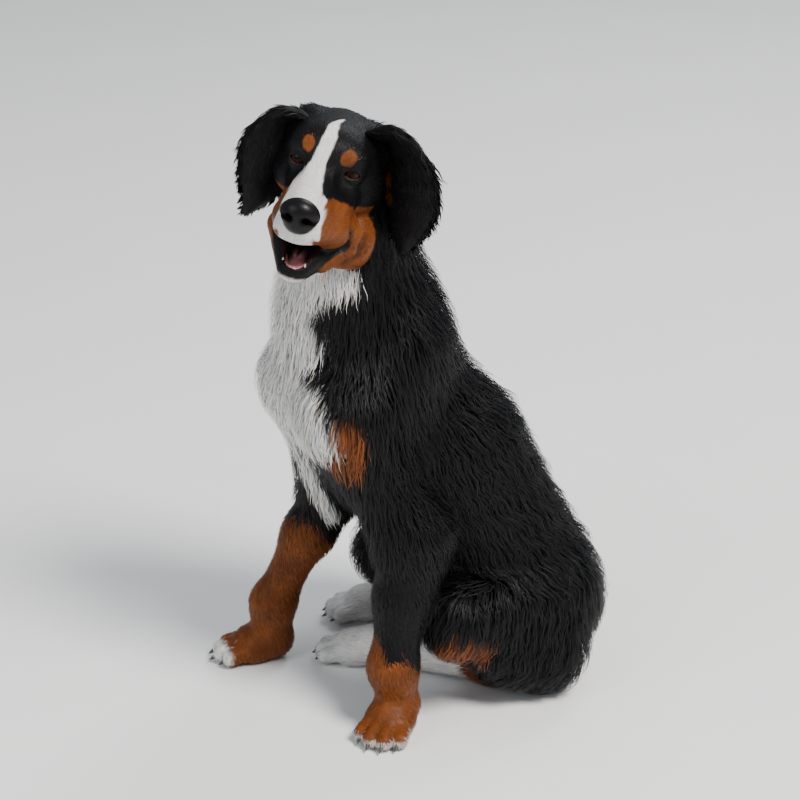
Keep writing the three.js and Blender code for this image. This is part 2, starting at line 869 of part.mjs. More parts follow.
// Locks along an ear's rear edge and over its top.
function earFringe(side, line, middle) {
  const locks = [];
  for (let k = 0; k < FRINGE_PER_EAR; k += 1) {
    const t = lerp(0.16, 0.78, k / (FRINGE_PER_EAR - 1));
    const place = t * (line.length - 1);
    const i = Math.min(Math.floor(place), line.length - 2);
    const half = lerp(line[i].half, line[i + 1].half, place - i);
    const twist = lerp(line[i].twist, line[i + 1].twist, place - i);
    const tangent = middle.getTangent(t);
    const back = vec(0, 1, 0)
      .addScaledVector(tangent, -tangent.y)
      .applyAxisAngle(tangent, -side * radians(twist))
      .normalize();
    const out = tangent.clone().cross(back).multiplyScalar(-side);
    const size = LOCKS.fringe;
    const length = size.length * around(1, 0.15);
    const at = middle.getPoint(t).addScaledVector(back, -half * FRINGE_ROOT[side]);
    const path = [];
    for (let step = 0; step <= FRINGE_STEPS; step += 1) {
      path.push({ at: at.clone(), out: out.clone() });
      const outwards = 0.7 * (1 - step / FRINGE_STEPS);
      const way = tangent.clone().addScaledVector(back, -outwards).normalize();
      at.addScaledVector(way, length / FRINGE_STEPS);
    }
    locks.push(bladesOf(path, size));
  }
  return locks;
}

const joined = (core, locks) =>
  wasm.Manifold.union([core, ...locks.map((made) => made.solid)]);
const joinedGrown = (core, locks) =>
  wasm.Manifold.union([core, ...locks.map((made) => made.grown)]);

// Nodes, from the head down: each is cleared of those before it.

const group = new THREE.Group();
const taken = [];

const COLOURS = {
  black: 0x15141a,
  white: 0xe8e4dc,
  rust: 0x9a4a1c,
  nose: 0x1a171a,
  eye: 0x3a1c0c,
  tongue: 0xc76a72,
};
const ROUGHNESS = { black: 0.6, white: 0.8, rust: 0.75, nose: 0.35, eye: 0.1, tongue: 0.4 };

function addNode(name, solid, colour, grown) {
  let made = solid;
  for (const other of taken) made = made.subtract(other);
  const geometry = largest(made);
  const material = new THREE.MeshStandardMaterial({
    color: COLOURS[colour],
    roughness: ROUGHNESS[colour],
    metalness: 0,
  });
  const part = new THREE.Mesh(geometry, material);
  part.name = name;
  group.add(part);
  if (grown) taken.push(grown);
}

const socket = (side, radius) => ball(eyeAt(side), radius);
for (const [name, side] of [["eye_left", 1], ["eye_right", -1]]) {
  addNode(
    name,
    placed(socket(side, EYE_RADIUS)),
    "eye",
    placed(socket(side, EYE_RADIUS + GAP)),
  );
}

const carvedNose = nose(0).subtract(nostril(1)(0)).subtract(nostril(-1)(0));
addNode("nose", placed(carvedNose), "nose", placed(nose(GAP)));

const lids = [1, -1].map((side) => ball(eyeAt(side), EYE_RADIUS + LID));
const wholeHead = wasm.Manifold.union([head(0), ...lids])
  .subtract(almond(1))
  .subtract(almond(-1))
  .subtract(mouth(0));
const headZone = placed(wasm.Manifold.union([head(GAP), jaw(GAP)]));
addNode("head", placed(wholeHead), "black", null);

const headGrown = placed(head(GAP).subtract(mouth(-GAP)));
taken.push(headGrown);

addNode("tongue", placed(tongue(0)), "tongue", placed(tongue(GAP)));
const lowerJaw = wasm.Manifold.union([jaw(0).subtract(jawTrough(0)), ...lowerTeeth()]);
addNode("lower_jaw", placed(lowerJaw), "black", headZone);

for (const [name, side, line] of [["ear_left", 1, EAR_LEFT], ["ear_right", -1, EAR_RIGHT]]) {
  const leaf = ear(side, line);
  const locks = earFringe(side, line, earMiddle(side, line));
  addNode(
    name,
    placed(joined(leaf(0), locks)),
    "black",
    placed(joinedGrown(leaf(GAP), locks)),
  );
}

const LEGS = {
  left: forelegForms(ELBOW_LEFT, SHOULDER, WRIST_LEFT),
  right: forelegForms(ELBOW_RIGHT, mirrored(SHOULDER), WRIST_RIGHT),
};
const THIGHS = {
  left: thighForms(HIP, KNEE_LEFT),
  right: thighForms(mirrored(HIP), KNEE_RIGHT),
};
const wholeCoat = blended([
  ...bodyForms,
  ...THIGHS.left.forms,
  ...THIGHS.right.forms,
  ...LEGS.left.forms.slice(0, 1),
  ...LEGS.right.forms.slice(0, 1),
]);

// The coat runs down the neck and chest, and down and back along the trunk.
const trunkLie = (p) => {
  const back = clamp((p.y + 150) / 120, 0, 1);
  return vec(0.12 * Math.sign(p.x), lerp(-0.1, 0.5, back), -1).normalize();
};
const haunchLie = (p) => vec(0, p.z > 70 ? -0.35 : -0.9, -1).normalize();
const armLie = () => vec(0, 0.3, -1).normalize();
const featherLie = () => vec(0, 0.7, -1).normalize();
const tailCurve = new THREE.CatmullRomCurve3(TAIL.map((p) => vec(...p)));
const tailSamples = Array.from({ length: 25 }, (_, i) => ({
  at: tailCurve.getPointAt(i / 24),
  way: tailCurve.getTangentAt(i / 24),
}));
const tailLie = (p) =>
  tailSamples.reduce((a, b) =>
    a.at.distanceToSquared(p) < b.at.distanceToSquared(p) ? a : b,
  ).way;

const isNeck = (p) => isAbove(NECK_PLANE, p);
const isRump = (p) => !isAbove(WAIST_PLANE, p);
const trunkLocks = rowsOfLocks({
  axis: [...bodyAxis, [32, -165, 778]],
  field: bodyField,
  coat: wholeCoat,
  rows: [1, 0.92, 0.81, 0.7, 0.58, 0.46, 0.34, 0.22, 0.1],
  count: 8,
  size: LOCKS.trunk,
  depth: CORE_DEPTH.trunk,
  lie: trunkLie,
  keep: (p) => p.z > 60,
});

const trunkCore = body(-CORE_DEPTH.trunk);
const trunkGrown = body(GAP - CORE_DEPTH.trunk);
const neckOf = (trunk) => trunk.subtract(below(NECK_PLANE, GAP));
const neckLocks = trunkLocks.filter(({ root }) => isNeck(root));
addNode(
  "neck",
  joined(neckOf(trunkCore), neckLocks),
  "black",
  joinedGrown(neckOf(trunkGrown), neckLocks),
);

for (const [side, paw] of Object.entries(FOREPAWS)) {
  const outer = side === "left" ? 1 : -1;
  const shared = {
    axis: LEGS[side].axis,
    field: blended(LEGS[side].forms),
  };
  const locks = [
    ...rowsOfLocks({
      ...shared,
      coat: wholeCoat,
      rows: [0.08, 0.22, 0.36],
      count: 3,
      size: LOCKS.arm,
      depth: CORE_DEPTH.arm,
      lie: armLie,
      keep: (p) => p.x * outer > 90,
    }),
    ...rowsOfLocks({
      ...shared,
      coat: shared.field,
      rows: [0.46, 0.58, 0.7, 0.8],
      count: 1,
      arc: [0.62, 0.8],
      size: LOCKS.feather,
      depth: CORE_DEPTH.feather,
      lie: featherLie,
      keep: () => true,
    }),
  ];
  const leg = foreleg(LEGS[side]);
  addNode(
    `foreleg_${side}`,
    joined(leg(0), locks),
    "black",
    joinedGrown(leg(GAP), locks),
  );
  const foot = forepaw(paw);
  const clawed = wasm.Manifold.union([
    foot(0),
    ...clawsOf(paw.at, paw.heading, paw.size),
  ]);
  addNode(`forepaw_${side}`, aboveFloor(clawed), "rust", foot(GAP));
}

for (const [side, paw] of Object.entries(HINDPAWS)) {
  const knee = side === "left" ? KNEE_LEFT : KNEE_RIGHT;
  const foot = hindFoot(paw, knee);
  const clawed = wasm.Manifold.union([
    foot(0),
    ...clawsOf(paw.at, paw.heading, paw.size),
  ]);
  addNode(`hind_foot_${side}`, aboveFloor(clawed), "white", foot(GAP));
  const calf = shank(paw.hock, knee);
  addNode(`shank_${side}`, aboveFloor(calf(0)), "rust", calf(GAP));
}

const torsoOf = (trunk) =>
  trunk.intersect(below(NECK_PLANE, 0)).subtract(below(WAIST_PLANE, GAP));
const rumpOf = (trunk) => trunk.intersect(below(WAIST_PLANE, 0));
const lower = trunkLocks.filter(({ root }) => !isNeck(root));
const torsoLocks = lower.filter(({ root }) => !isRump(root));
const rumpLocks = lower.filter(({ root }) => isRump(root));
addNode(
  "torso",
  joined(torsoOf(trunkCore), torsoLocks),
  "black",
  joinedGrown(torsoOf(trunkGrown), torsoLocks),
);

for (const side of ["left", "right"]) {
  const outer = side === "left" ? 1 : -1;
  const locks = rowsOfLocks({
    axis: THIGHS[side].axis,
    field: blended(THIGHS[side].forms),
    coat: wholeCoat,
    rows: [0.1, 0.5, 0.9],
    count: 3,
    size: LOCKS.haunch,
    depth: CORE_DEPTH.haunch,
    lie: haunchLie,
    side: [0, 0, 1],
    keep: (p) => p.x * outer > 60 && p.z > 60,
  });
  const haunch = thigh(THIGHS[side]);
  addNode(
    `thigh_${side}`,
    aboveFloor(joined(haunch(-CORE_DEPTH.haunch), locks)),
    "black",
    joinedGrown(haunch(GAP - CORE_DEPTH.haunch), locks),
  );
}

addNode(
  "rump",
  aboveFloor(joined(rumpOf(trunkCore), rumpLocks)),
  "black",
  joinedGrown(rumpOf(trunkGrown), rumpLocks),
);

const tailLocks = rowsOfLocks({
  axis: TAIL,
  field: blended(tailForms),
  coat: blended(tailForms),
  rows: [0.24, 0.44, 0.64, 0.84],
  count: 2,
  size: LOCKS.tail,
  depth: CORE_DEPTH.tail,
  lie: tailLie,
  side: [0, 0, 1],
  arc: [-0.3, 0.3],
  keep: (p) => p.z > 14,
});
addNode(
  "tail",
  aboveFloor(joined(tail(-CORE_DEPTH.tail), tailLocks)),
  "black",
  null,
);

// The frame's origin is on the floor, under the middle of the dog's box.
const box = new THREE.Box3().setFromObject(group);
const middle = box.getCenter(vec(0, 0, 0));
group.position.set(-middle.x, -middle.y, -box.min.z);

export default group;
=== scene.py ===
import math

import bpy
import numpy as np
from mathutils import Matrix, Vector
from mathutils.kdtree import KDTree


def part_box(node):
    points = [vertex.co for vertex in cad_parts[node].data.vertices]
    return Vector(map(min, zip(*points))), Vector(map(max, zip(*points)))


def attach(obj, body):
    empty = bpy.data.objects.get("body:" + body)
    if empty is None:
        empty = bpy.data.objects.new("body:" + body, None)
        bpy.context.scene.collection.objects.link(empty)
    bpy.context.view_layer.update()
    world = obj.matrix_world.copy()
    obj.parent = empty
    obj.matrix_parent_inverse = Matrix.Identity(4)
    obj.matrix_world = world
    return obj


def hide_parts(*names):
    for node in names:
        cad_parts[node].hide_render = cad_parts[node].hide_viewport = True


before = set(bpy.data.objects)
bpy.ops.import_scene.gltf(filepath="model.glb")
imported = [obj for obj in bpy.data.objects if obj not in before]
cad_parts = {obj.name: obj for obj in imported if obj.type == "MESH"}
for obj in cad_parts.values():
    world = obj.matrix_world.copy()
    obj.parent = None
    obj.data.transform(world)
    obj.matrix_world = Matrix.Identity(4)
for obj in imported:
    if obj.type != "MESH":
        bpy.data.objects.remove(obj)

# A sitting Bernese mountain dog. Places and sizes are in millimetres in the dog's own coordinates:
# it faces -Y, its left is +X, and the floor is at z = 0. The last step turns them into the frame's metres.
# One skin is netted round a few blended forms, and a coat of tapered tufts follows its lie over the skin.

MM = 0.001
SEED = 7

# How the dog's coordinates lie in the frame: by the middle of the left eye's solid.
EYE_LEFT_MIDDLE = np.array([126.026, -195.935, 770.286])
SHIFT = (np.array(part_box("eye_left")[0]) + np.array(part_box("eye_left")[1])) / 2 - EYE_LEFT_MIDDLE * MM

# Each side's sign along X.
SIDES = {"left": 1, "right": -1}

# Joints and other places of the body. The right foreleg is slimmer than the left one.
SHOULDER = [80, -176, 428]
ELBOWS = {"left": [116, -112, 272], "right": [-112, -130, 268]}
WRISTS = {"left": [123, -139, 92], "right": [-124, -218, 86]}
HIP = [72, 104, 136]
KNEES = {"left": [118, -44, 142], "right": [-128, -42, 138]}
HOCKS = {"left": [66, 32, 38], "right": [-132, 118, 38]}
SKULL_BASE = [30, -162, 742]
TAIL = [[-24, 170, 62], [-76, 208, 42], [-144, 206, 38], [-204, 152, 38], [-232, 76, 34], [-236, 20, 28]]
TAIL_RADII = [36, 36, 39, 38, 31, 18]
RUMP_MIDDLE, NECK_MIDDLE = [0, 118, 92], [14, -146, 640]
FORELEG_SLIMMER = {"left": 0, "right": 4}

# Where each paw stands, which way it points in degrees from straight ahead, and its size.
FOREPAWS = {"left": ([134, -148, 0], 46, 0.94), "right": ([-136, -246, 0], -14, 0.94)}
HIND_PAWS = {"left": ([-76, -118, 0], -43, 0.92), "right": ([-196, -58, 0], -20, 0.92)}
TOE_SIDES = [-28, -10, 10, 28]

# The head's own coordinates: X to the dog's left, Y back, Z up, origin between the eyes.
HEAD_AT = np.array([114, -223, 775])
HEAD_TURN, HEAD_NOD, HEAD_TILT = 56, 2, 13.4
# The eyes' middles by side, their turn outwards, and the lids' and the openings' sizes.
EYES_AT = {1: [34, 5, 1.5], -1: [-30.5, 5, 1.5]}
EYE_RADIUS = 12.3
EYE_TURN = 12
LID = 2.2
EYE_HALF_WIDTH, EYE_ABOVE, EYE_BELOW = 9.4, 5.0, 4.4
EYE_SHELL = 7
# The hollow round each eye, how softly it and the lids run into the face, and how far the skin goes into
# the eye's ball.
SOCKET_AHEAD, SOCKET_RADIUS = 28.5, 18
SOCKET_BLEND, LID_BLEND, OPENING_BLEND = 7, 6, 0.8
BALL_OVERLAP = 0.6

# The coat: how deep it is over the skin, from the body to the short hair of the paws.
TRUNK_DEPTH, CHEST_DEPTH, HAUNCH_DEPTH, TAIL_DEPTH, SHANK_DEPTH, PAW_DEPTH = 22, 15, 18, 13, 4, 2.5

# Linear colours of the coat, the bare skin and the eyes.
BLACK = np.array([0.0050, 0.0050, 0.0058])
RUST = np.array([0.180, 0.050, 0.0115])
WHITE = np.array([0.84, 0.82, 0.79])
LIP = np.array([0.008, 0.007, 0.008])
LID_PINK = np.array([0.060, 0.022, 0.020])
# The inside of the mouth: a near-black colour that is painted shade.
MOUTH_PAINTED_SHADE = np.array([0.022, 0.006, 0.007])
EYE_WHITE = np.array([0.03, 0.015, 0.013])
IRIS = np.array([0.028, 0.0085, 0.004])
PUPIL = np.array([0.002, 0.002, 0.002])


def dots(first, second):
    """The dot product of each row with its partner."""
    return np.einsum("ij,ij->i", first, second)


def lengths_of(rows):
    """How long each row is."""
    return np.sqrt(dots(rows, rows))


def unit(rows):
    """Each row as a direction."""
    return rows / np.maximum(lengths_of(rows), 1e-9)[:, None]


def unit_along(paths):
    """Each place of each path as a direction."""
    return paths / np.maximum(np.linalg.norm(paths, axis=2, keepdims=True), 1e-9)


def blended(first, second, share):
    """Values or colours between two others, by the second's share."""
    return first * (1 - share) + second * share


def lerp(start, end, share):
    """A place between two others."""
    return np.asarray(start, float) + (np.asarray(end, float) - np.asarray(start, float)) * share


def turned(axis, degrees):
    """The matrix of a turn about X, Y or Z (axis 0, 1 or 2)."""
    cos, sin = math.cos(math.radians(degrees)), math.sin(math.radians(degrees))
    one, two = (axis + 1) % 3, (axis + 2) % 3
    matrix = np.eye(3)
    matrix[one, one] = matrix[two, two] = cos
    matrix[one, two], matrix[two, one] = -sin, sin
    return matrix


HEAD = turned(2, HEAD_TURN) @ turned(0, HEAD_NOD) @ turned(1, HEAD_TILT)


def to_head(points):
    return (points - HEAD_AT) @ HEAD


def from_head(points):
    return np.asarray(points, float) @ HEAD.T + HEAD_AT


# Forms. Each gives the distance to its surface, which lies deeper by its coat's depth where sunk is 1.

class Rod:
    """A round bar between two balls of their own radius."""

    def __init__(self, start, end, start_radius, end_radius, blend, depth=0.0, end_depth=None):
        self.start = np.array(start, float)
        self.along = np.array(end, float) - self.start
        self.radii = (start_radius, end_radius)
        self.depths = (depth, depth if end_depth is None else end_depth)
        self.blend = blend
        reach = max(self.radii)
        self.low = np.minimum(self.start, self.start + self.along) - reach
        self.high = np.maximum(self.start, self.start + self.along) + reach

    def distance(self, points, sunk):
        away = points - self.start
        share = np.clip(away @ self.along / (self.along @ self.along), 0, 1)
        away -= share[:, None] * self.along
        radius = self.radii[0] - sunk * self.depths[0]
        growth = self.radii[1] - sunk * self.depths[1] - radius
        return lengths_of(away) - radius - growth * share


class Egg:
    """An ellipsoid along the axes."""

    def __init__(self, centre, radii, blend, depth=0.0):
        self.centre = np.array(centre, float)
        self.radii = np.array(radii, float)
        self.depth = depth
        self.blend = blend
        self.low, self.high = self.centre - self.radii, self.centre + self.radii

    def distance(self, points, sunk):
        radii = self.radii - sunk * self.depth
        scaled = (points - self.centre) / radii
        level = lengths_of(scaled)
        return level * (level - 1) / np.maximum(lengths_of(scaled / radii), 1e-9)


def mirrored(place):
    return [-place[0], place[1], place[2]]


def rods(start, end, *sizes):
    """A rod on the left and one on the right."""
    return [Rod(start, end, *sizes), Rod(mirrored(start), mirrored(end), *sizes)]


def chain(blend, *stations):
    """Rods on both sides from each station of a place and a radius to the next."""
    return [rod for (start, radius), (end, end_radius) in zip(stations, stations[1:])
            for rod in rods(start, end, radius, end_radius, blend)]


def eggs(centre, *sizes):
    return [Egg(centre, *sizes), Egg(mirrored(centre), *sizes)]


def soft_min(first, second, blend):
    near = np.maximum(blend - np.abs(first - second), 0) / blend
    return np.minimum(first, second) - near * near * blend / 4


def soft_max(first, second, blend):
    return -soft_min(-first, -second, blend)


class Group:
    """Forms that run softly into one another, in turn, and are worked out only near their box."""

    MARGIN = 45

    def __init__(self, *forms):
        self.forms = forms
        self.low = np.min([form.low for form in forms], axis=0)
        self.high = np.max([form.high for form in forms], axis=0)

    def distance(self, points, sunk=0.0):
        outside = np.maximum(np.maximum(self.low - points, points - self.high), 0)
        field = lengths_of(outside)
        near = field < self.MARGIN
        if not near.any():
            return field
        close = points[near]
        value = self.forms[0].distance(close, sunk)
        for form in self.forms[1:]:
            value = soft_min(value, form.distance(close, sunk), form.blend)
        field[near] = value
        return field


# The body's forms, which follow the solids' outer forms, each with its coat's depth.

def trunk_group():
    deep, short = TRUNK_DEPTH, CHEST_DEPTH
    return Group(
        Rod([0, -122, 470], [0, -35, 340], 102, 106, 60, deep),
        Rod([0, -162, 450], [0, -108, 335], 84, 82, 60, short),
        Rod([0, -15, 330], [0, 84, 160], 110, 104, 60, deep),
        Egg([0, 106, 100], [122, 114, 100], 50, deep),
        Rod([0, -94, 540], [0, -86, 470], 66, 80, 50, deep),
        *rods([34, 20, 250], [62, 62, 150], 78, 84, 60, deep),
        *rods([56, -92, 505], SHOULDER, 56, 60, 50, short),
        *rods(SHOULDER, [92, -150, 370], 60, 50, 50, short),
        Rod([0, -132, 545], SKULL_BASE, 90, 77, 60, deep),
        Rod([0, -176, 560], [46, -196, 690], 70, 56, 60, deep))


def paw_ahead(paw):
    """The level direction in which a paw points."""
    angle = math.radians(paw[1])
    return np.array([math.sin(angle), -math.cos(angle), 0])


def foreleg_group(elbow, wrist, paw, slim):
    """The upper arm, the forearm with its rear edge, the wrist and the paw, slimmer by some millimetres."""
    outer = math.copysign(1, elbow[0])
    top = lerp(elbow, [SHOULDER[0] * outer, SHOULDER[1], SHOULDER[2]], 0.8)
    middle = lerp(elbow, wrist, 0.45)
    heel = np.array(paw[0]) - paw_ahead(paw) * 26 + [0, 0, 34]
    return Group(
        Rod(top, elbow, 58, 50, 30, 14, 11),
        Rod(elbow, middle, 46 - slim, 36 - slim, 40, 9, 4),
        Rod(middle, wrist, 35 - slim, 32 - slim, 30, 3, PAW_DEPTH),
        Rod([elbow[0], elbow[1] + 28, elbow[2]], middle + [0, 14, 0], 32, 24, 30, 12, 8),
        Rod(wrist, heel, 33, 28, 20, PAW_DEPTH),
        *paw_forms(paw))


def paw_place(paw, side, ahead, up):
    """A place in a paw's own frame."""
    at, _, size = paw
    forward = paw_ahead(paw)
    across = np.array([-forward[1], forward[0], 0])
    return np.array(at) + size * (across * side + forward * ahead + np.array([0, 0, up]))


def toe_reach(side):
    """How far a toe goes ahead: the two middle ones further."""
    return 34 if abs(side) > 20 else 46


def paw_forms(paw):
    size = paw[2]
    forms = [
        Rod(paw_place(paw, 0, -34, 30), paw_place(paw, 0, 4, 24), 27 * size, 27 * size, 20, PAW_DEPTH),
        Rod(paw_place(paw, -13, -2, 22), paw_place(paw, 13, -2, 22), 24 * size, 24 * size, 14, PAW_DEPTH)]
    for side in TOE_SIDES:
        reach = toe_reach(side)
        root, tip = paw_place(paw, side * 0.7, reach - 34, 24), paw_place(paw, side, reach, 15)
        forms.append(Rod(root, tip, 16 * size, 14 * size, 5, PAW_DEPTH))
    return forms


def hind_foot_group(hock, knee, paw):
    heel = np.array(paw[0]) - paw_ahead(paw) * 30 + [0, 0, 30]
    return Group(
        Rod(knee, hock, 36, 31, 30, SHANK_DEPTH),
        Rod(hock, heel, 30, 26, 24, PAW_DEPTH),
        *paw_forms(paw))


def thigh_group(knee):
    outer = math.copysign(1, knee[0])
    hip = [HIP[0] * outer, HIP[1], HIP[2]]
    low = [hip[0] + 26 * outer, hip[1] - 18, 66]
    return Group(
        Rod(hip, knee, 80, 62, 40, HAUNCH_DEPTH),
        Rod(low, [low[0] + 8 * outer, 34, 74], 70, 56, 40, HAUNCH_DEPTH))


def tail_group():
    return Group(*[Rod(TAIL[i], TAIL[i + 1], TAIL_RADII[i], TAIL_RADII[i + 1], 30, TAIL_DEPTH)
                   for i in range(len(TAIL) - 1)])


GROUPS = {
    "trunk": trunk_group(),
    **{f"thigh_{side}": thigh_group(KNEES[side]) for side in SIDES},
    **{f"foreleg_{side}": foreleg_group(ELBOWS[side], WRISTS[side], FOREPAWS[side], FORELEG_SLIMMER[side])
       for side in SIDES},
    **{f"hind_foot_{side}": hind_foot_group(HOCKS[side], KNEES[side], HIND_PAWS[side]) for side in SIDES},
    "tail": tail_group()}
LIMB_BLEND = 16
FLOOR_GAP = 0.8


def body_field(points, sunk):
    """The whole body without the head, cut level at the floor."""
    field = None
    for group in GROUPS.values():
        distance = group.distance(points, sunk)
        field = distance if field is None else soft_min(field, distance, LIMB_BLEND)
    return np.maximum(field, FLOOR_GAP - points[:, 2])


# The head's forms, in its own coordinates.

FACE = Group(
    Egg([0, 54, 8], [62, 72, 46], 20, 4),
    Egg([0, 14, 16], [44, 34, 30], 24, 2.5),
    *eggs([36, 48, -30], [38, 46, 38], 24, 6),
    *rods([20, 4, 21], [34, 6, 18], 13, 12, 14, 2.5),
    Rod([0, -10, -18], [0, -80, -30], 29, 21, 26, 1.5),
    Rod([16, -77, -52], [28, -26, -63], 17.5, 22, 20, 1.5),
    Rod([-15.5, -77, -54], [-22, -26, -63], 17.5, 20, 20, 1.5),
    Rod([28, -26, -63], [42, 0, -67], 21, 20, 20, 2, 4),
    Rod([-22, -26, -60], [-29, 4, -64], 19, 18, 20, 2, 4),
    *rods([38, 60, 30], [58, 60, 16], 22, 16, 16, 6),
    Rod([0, -86, -51], [0, -70, -57], 13.5, 18, 12, 1.5),
    Rod([20, -58, -35], [34, -4, -32], 11, 16, 18, 1.5, 3),
    Rod([-17, -58, -35], [-27, -4, -32], 11, 14, 18, 1.5, 3))
MOUTH_HOLLOW = Group(
    Rod([0, -62, -80], [0, -12, -74], 14, 24, 10),
    Rod([0, -64, -92], [0, -12, -90], 17, 30, 10))
JAW = Group(
    Rod([0, -59, -116], [0, -28, -108], 11.5, 19, 16, 1.5, 2.5),
    Rod([0, -28, -108], [0, 34, -68], 19, 36, 20, 2.5, 5),
    *rods([10, -55, -114], [36, 8, -90], 10, 22, 20, 1.5, 4))
TROUGH = Group(
    Rod([0, -57, -105], [0, -10, -90], 12, 22, 10),
    Rod([0, -10, -88], [0, 10, -76], 22, 22, 10))
JOWL = Group(
    Rod([24, -16, -108], [44, 34, -112], 14, 23, 14, 1.5, 3),
    Rod([-22, -14, -107], [-30, 34, -110], 13, 21, 14, 1.5, 3),
    Egg([49, 38, -96], [28, 30, 34], 20, 3),
    Egg([-31, 40, -94], [25, 30, 32], 20, 3))
LIP_FOLD = Group(
    Rod([58, -4, -68], [52, -6, -92], 5, 8, 8),
    Rod([52, -6, -92], [30, -32, -112], 8, 6, 8))
LIP_CREASE = Group(*chain(6, ([54, -28, -56], 2), ([50, -20, -80], 4), ([36, -34, -93], 3)))
LIP_BAND = Group(*chain(6, ([54, -28, -60], 2), ([47, -18, -84], 6), ([24, -44, -101], 9),
                        ([0, -68, -112], 6.5)))
CHEEK_CREASE = Group(*chain(5, ([70, 20, -74], 2), ([61, 9, -104], 4.5), ([46, -4, -126], 3)))
NOSE = Group(
    Egg([0, -95, -27.5], [24.5, 14, 18], 8),
    Egg([0, -99, -24], [16, 11.5, 14], 8),
    Egg([0, -93, -41], [16, 12.5, 12], 8))
NOSTRILS = Group(
    *rods([9.5, -114, -31], [11, -92, -29], 5.0, 4.4, 2),
    *rods([11, -106, -30], [23.5, -97, -34], 3.8, 2.2, 3))
# How softly the parts of the head run into one another.
HOLLOW_BLEND, JOWL_BLEND, FOLD_BLEND, CREASE_BLEND, CHEEK_BLEND = 3, 12, 7, 4, 5
CORNER_BLEND = 8
NECK_BLEND = 26


def eye_frame(side):
    """An eye's middle and its across, forward and up directions in the head."""
    turn = turned(2, EYE_TURN * side)
    return np.array(EYES_AT[side]), turn @ [1, 0, 0], turn @ [0, -1, 0]


def eye_opening(points, side):
    """How far a head place is outside the almond between the lids, seen along the eye's axis."""
    middle, across, forward = eye_frame(side)
    away = points - middle
    ahead = away @ forward
    flare = 1 + 0.35 * np.clip(ahead / EYE_RADIUS - 0.8, 0, 2)
    u = away @ across / flare
    v = away[:, 2] / flare
    share = np.clip(1 - (u / EYE_HALF_WIDTH) ** 2, 0, 1) ** 0.8
    edge = np.where(v > 0, v - EYE_ABOVE * share, -v - EYE_BELOW * share)
    edge = np.maximum(edge, (np.abs(u) - EYE_HALF_WIDTH) * 0.7)
    shell = lengths_of(away) - EYE_RADIUS - EYE_SHELL
    return np.maximum(edge, np.maximum(-ahead, shell))


def head_parts(points, sunk):
    """The skin of the head and the inside of the mouth, as two distances, from head places."""
    hollow = MOUTH_HOLLOW.distance(points)
    trough = TROUGH.distance(points)
    crease = LIP_CREASE.distance(points)
    upper = soft_max(FACE.distance(points, sunk), -hollow, HOLLOW_BLEND)
    lower = soft_min(JAW.distance(points, sunk), JOWL.distance(points, sunk), JOWL_BLEND)
    lower = soft_min(lower, LIP_FOLD.distance(points, sunk), FOLD_BLEND)
    lower = soft_max(lower, -trough, HOLLOW_BLEND)
    whole = soft_max(soft_min(upper, lower, CORNER_BLEND), -crease, CREASE_BLEND)
    whole = soft_max(whole, -CHEEK_CREASE.distance(points), CHEEK_BLEND)
    return whole, np.minimum(hollow, trough)


def head_field(points, sunk):
    """The head with its lids and eye openings, run softly into the neck."""
    places = to_head(points)
    field = head_parts(places, sunk)[0]
    for side in SIDES.values():
        middle, _, forward = eye_frame(side)
        socket = lengths_of(places - middle - forward * SOCKET_AHEAD) - SOCKET_RADIUS
        field = soft_max(field, -socket, SOCKET_BLEND)
        ball = lengths_of(places - middle)
        field = soft_min(field, ball - EYE_RADIUS - LID, LID_BLEND)
        field = soft_max(field, -eye_opening(places, side), OPENING_BLEND)
        field = np.maximum(field, EYE_RADIUS - BALL_OVERLAP - ball)
    return soft_min(field, GROUPS["trunk"].distance(points, sunk), NECK_BLEND)


# Nets: closed meshes of four-sided faces round the places where a field is zero.

# Cells to a coarse block's side, how many blocks away a surface is looked for, and the last pulls to it.
COARSE = 4
REACH = 1.4
PULLS, LEAST_SLOPE = 2, 0.2


def lattice(counts):
    """All whole places below three counts, as rows."""
    return np.stack(np.meshgrid(*[np.arange(count) for count in counts], indexing="ij"), -1).reshape(-1, 3)


CORNERS = lattice((2, 2, 2))
EDGES = [(a, b) for a in range(8) for b in range(a + 1, 8) if np.abs(CORNERS[a] - CORNERS[b]).sum() == 1]


def slope(field, points, nudge=0.2):
    """The field's value and its gradient."""
    value = field(points)
    gradient = np.empty_like(points)
    for axis in range(3):
        moved = points.copy()
        moved[:, axis] += nudge
        gradient[:, axis] = (field(moved) - value) / nudge
    return value, gradient


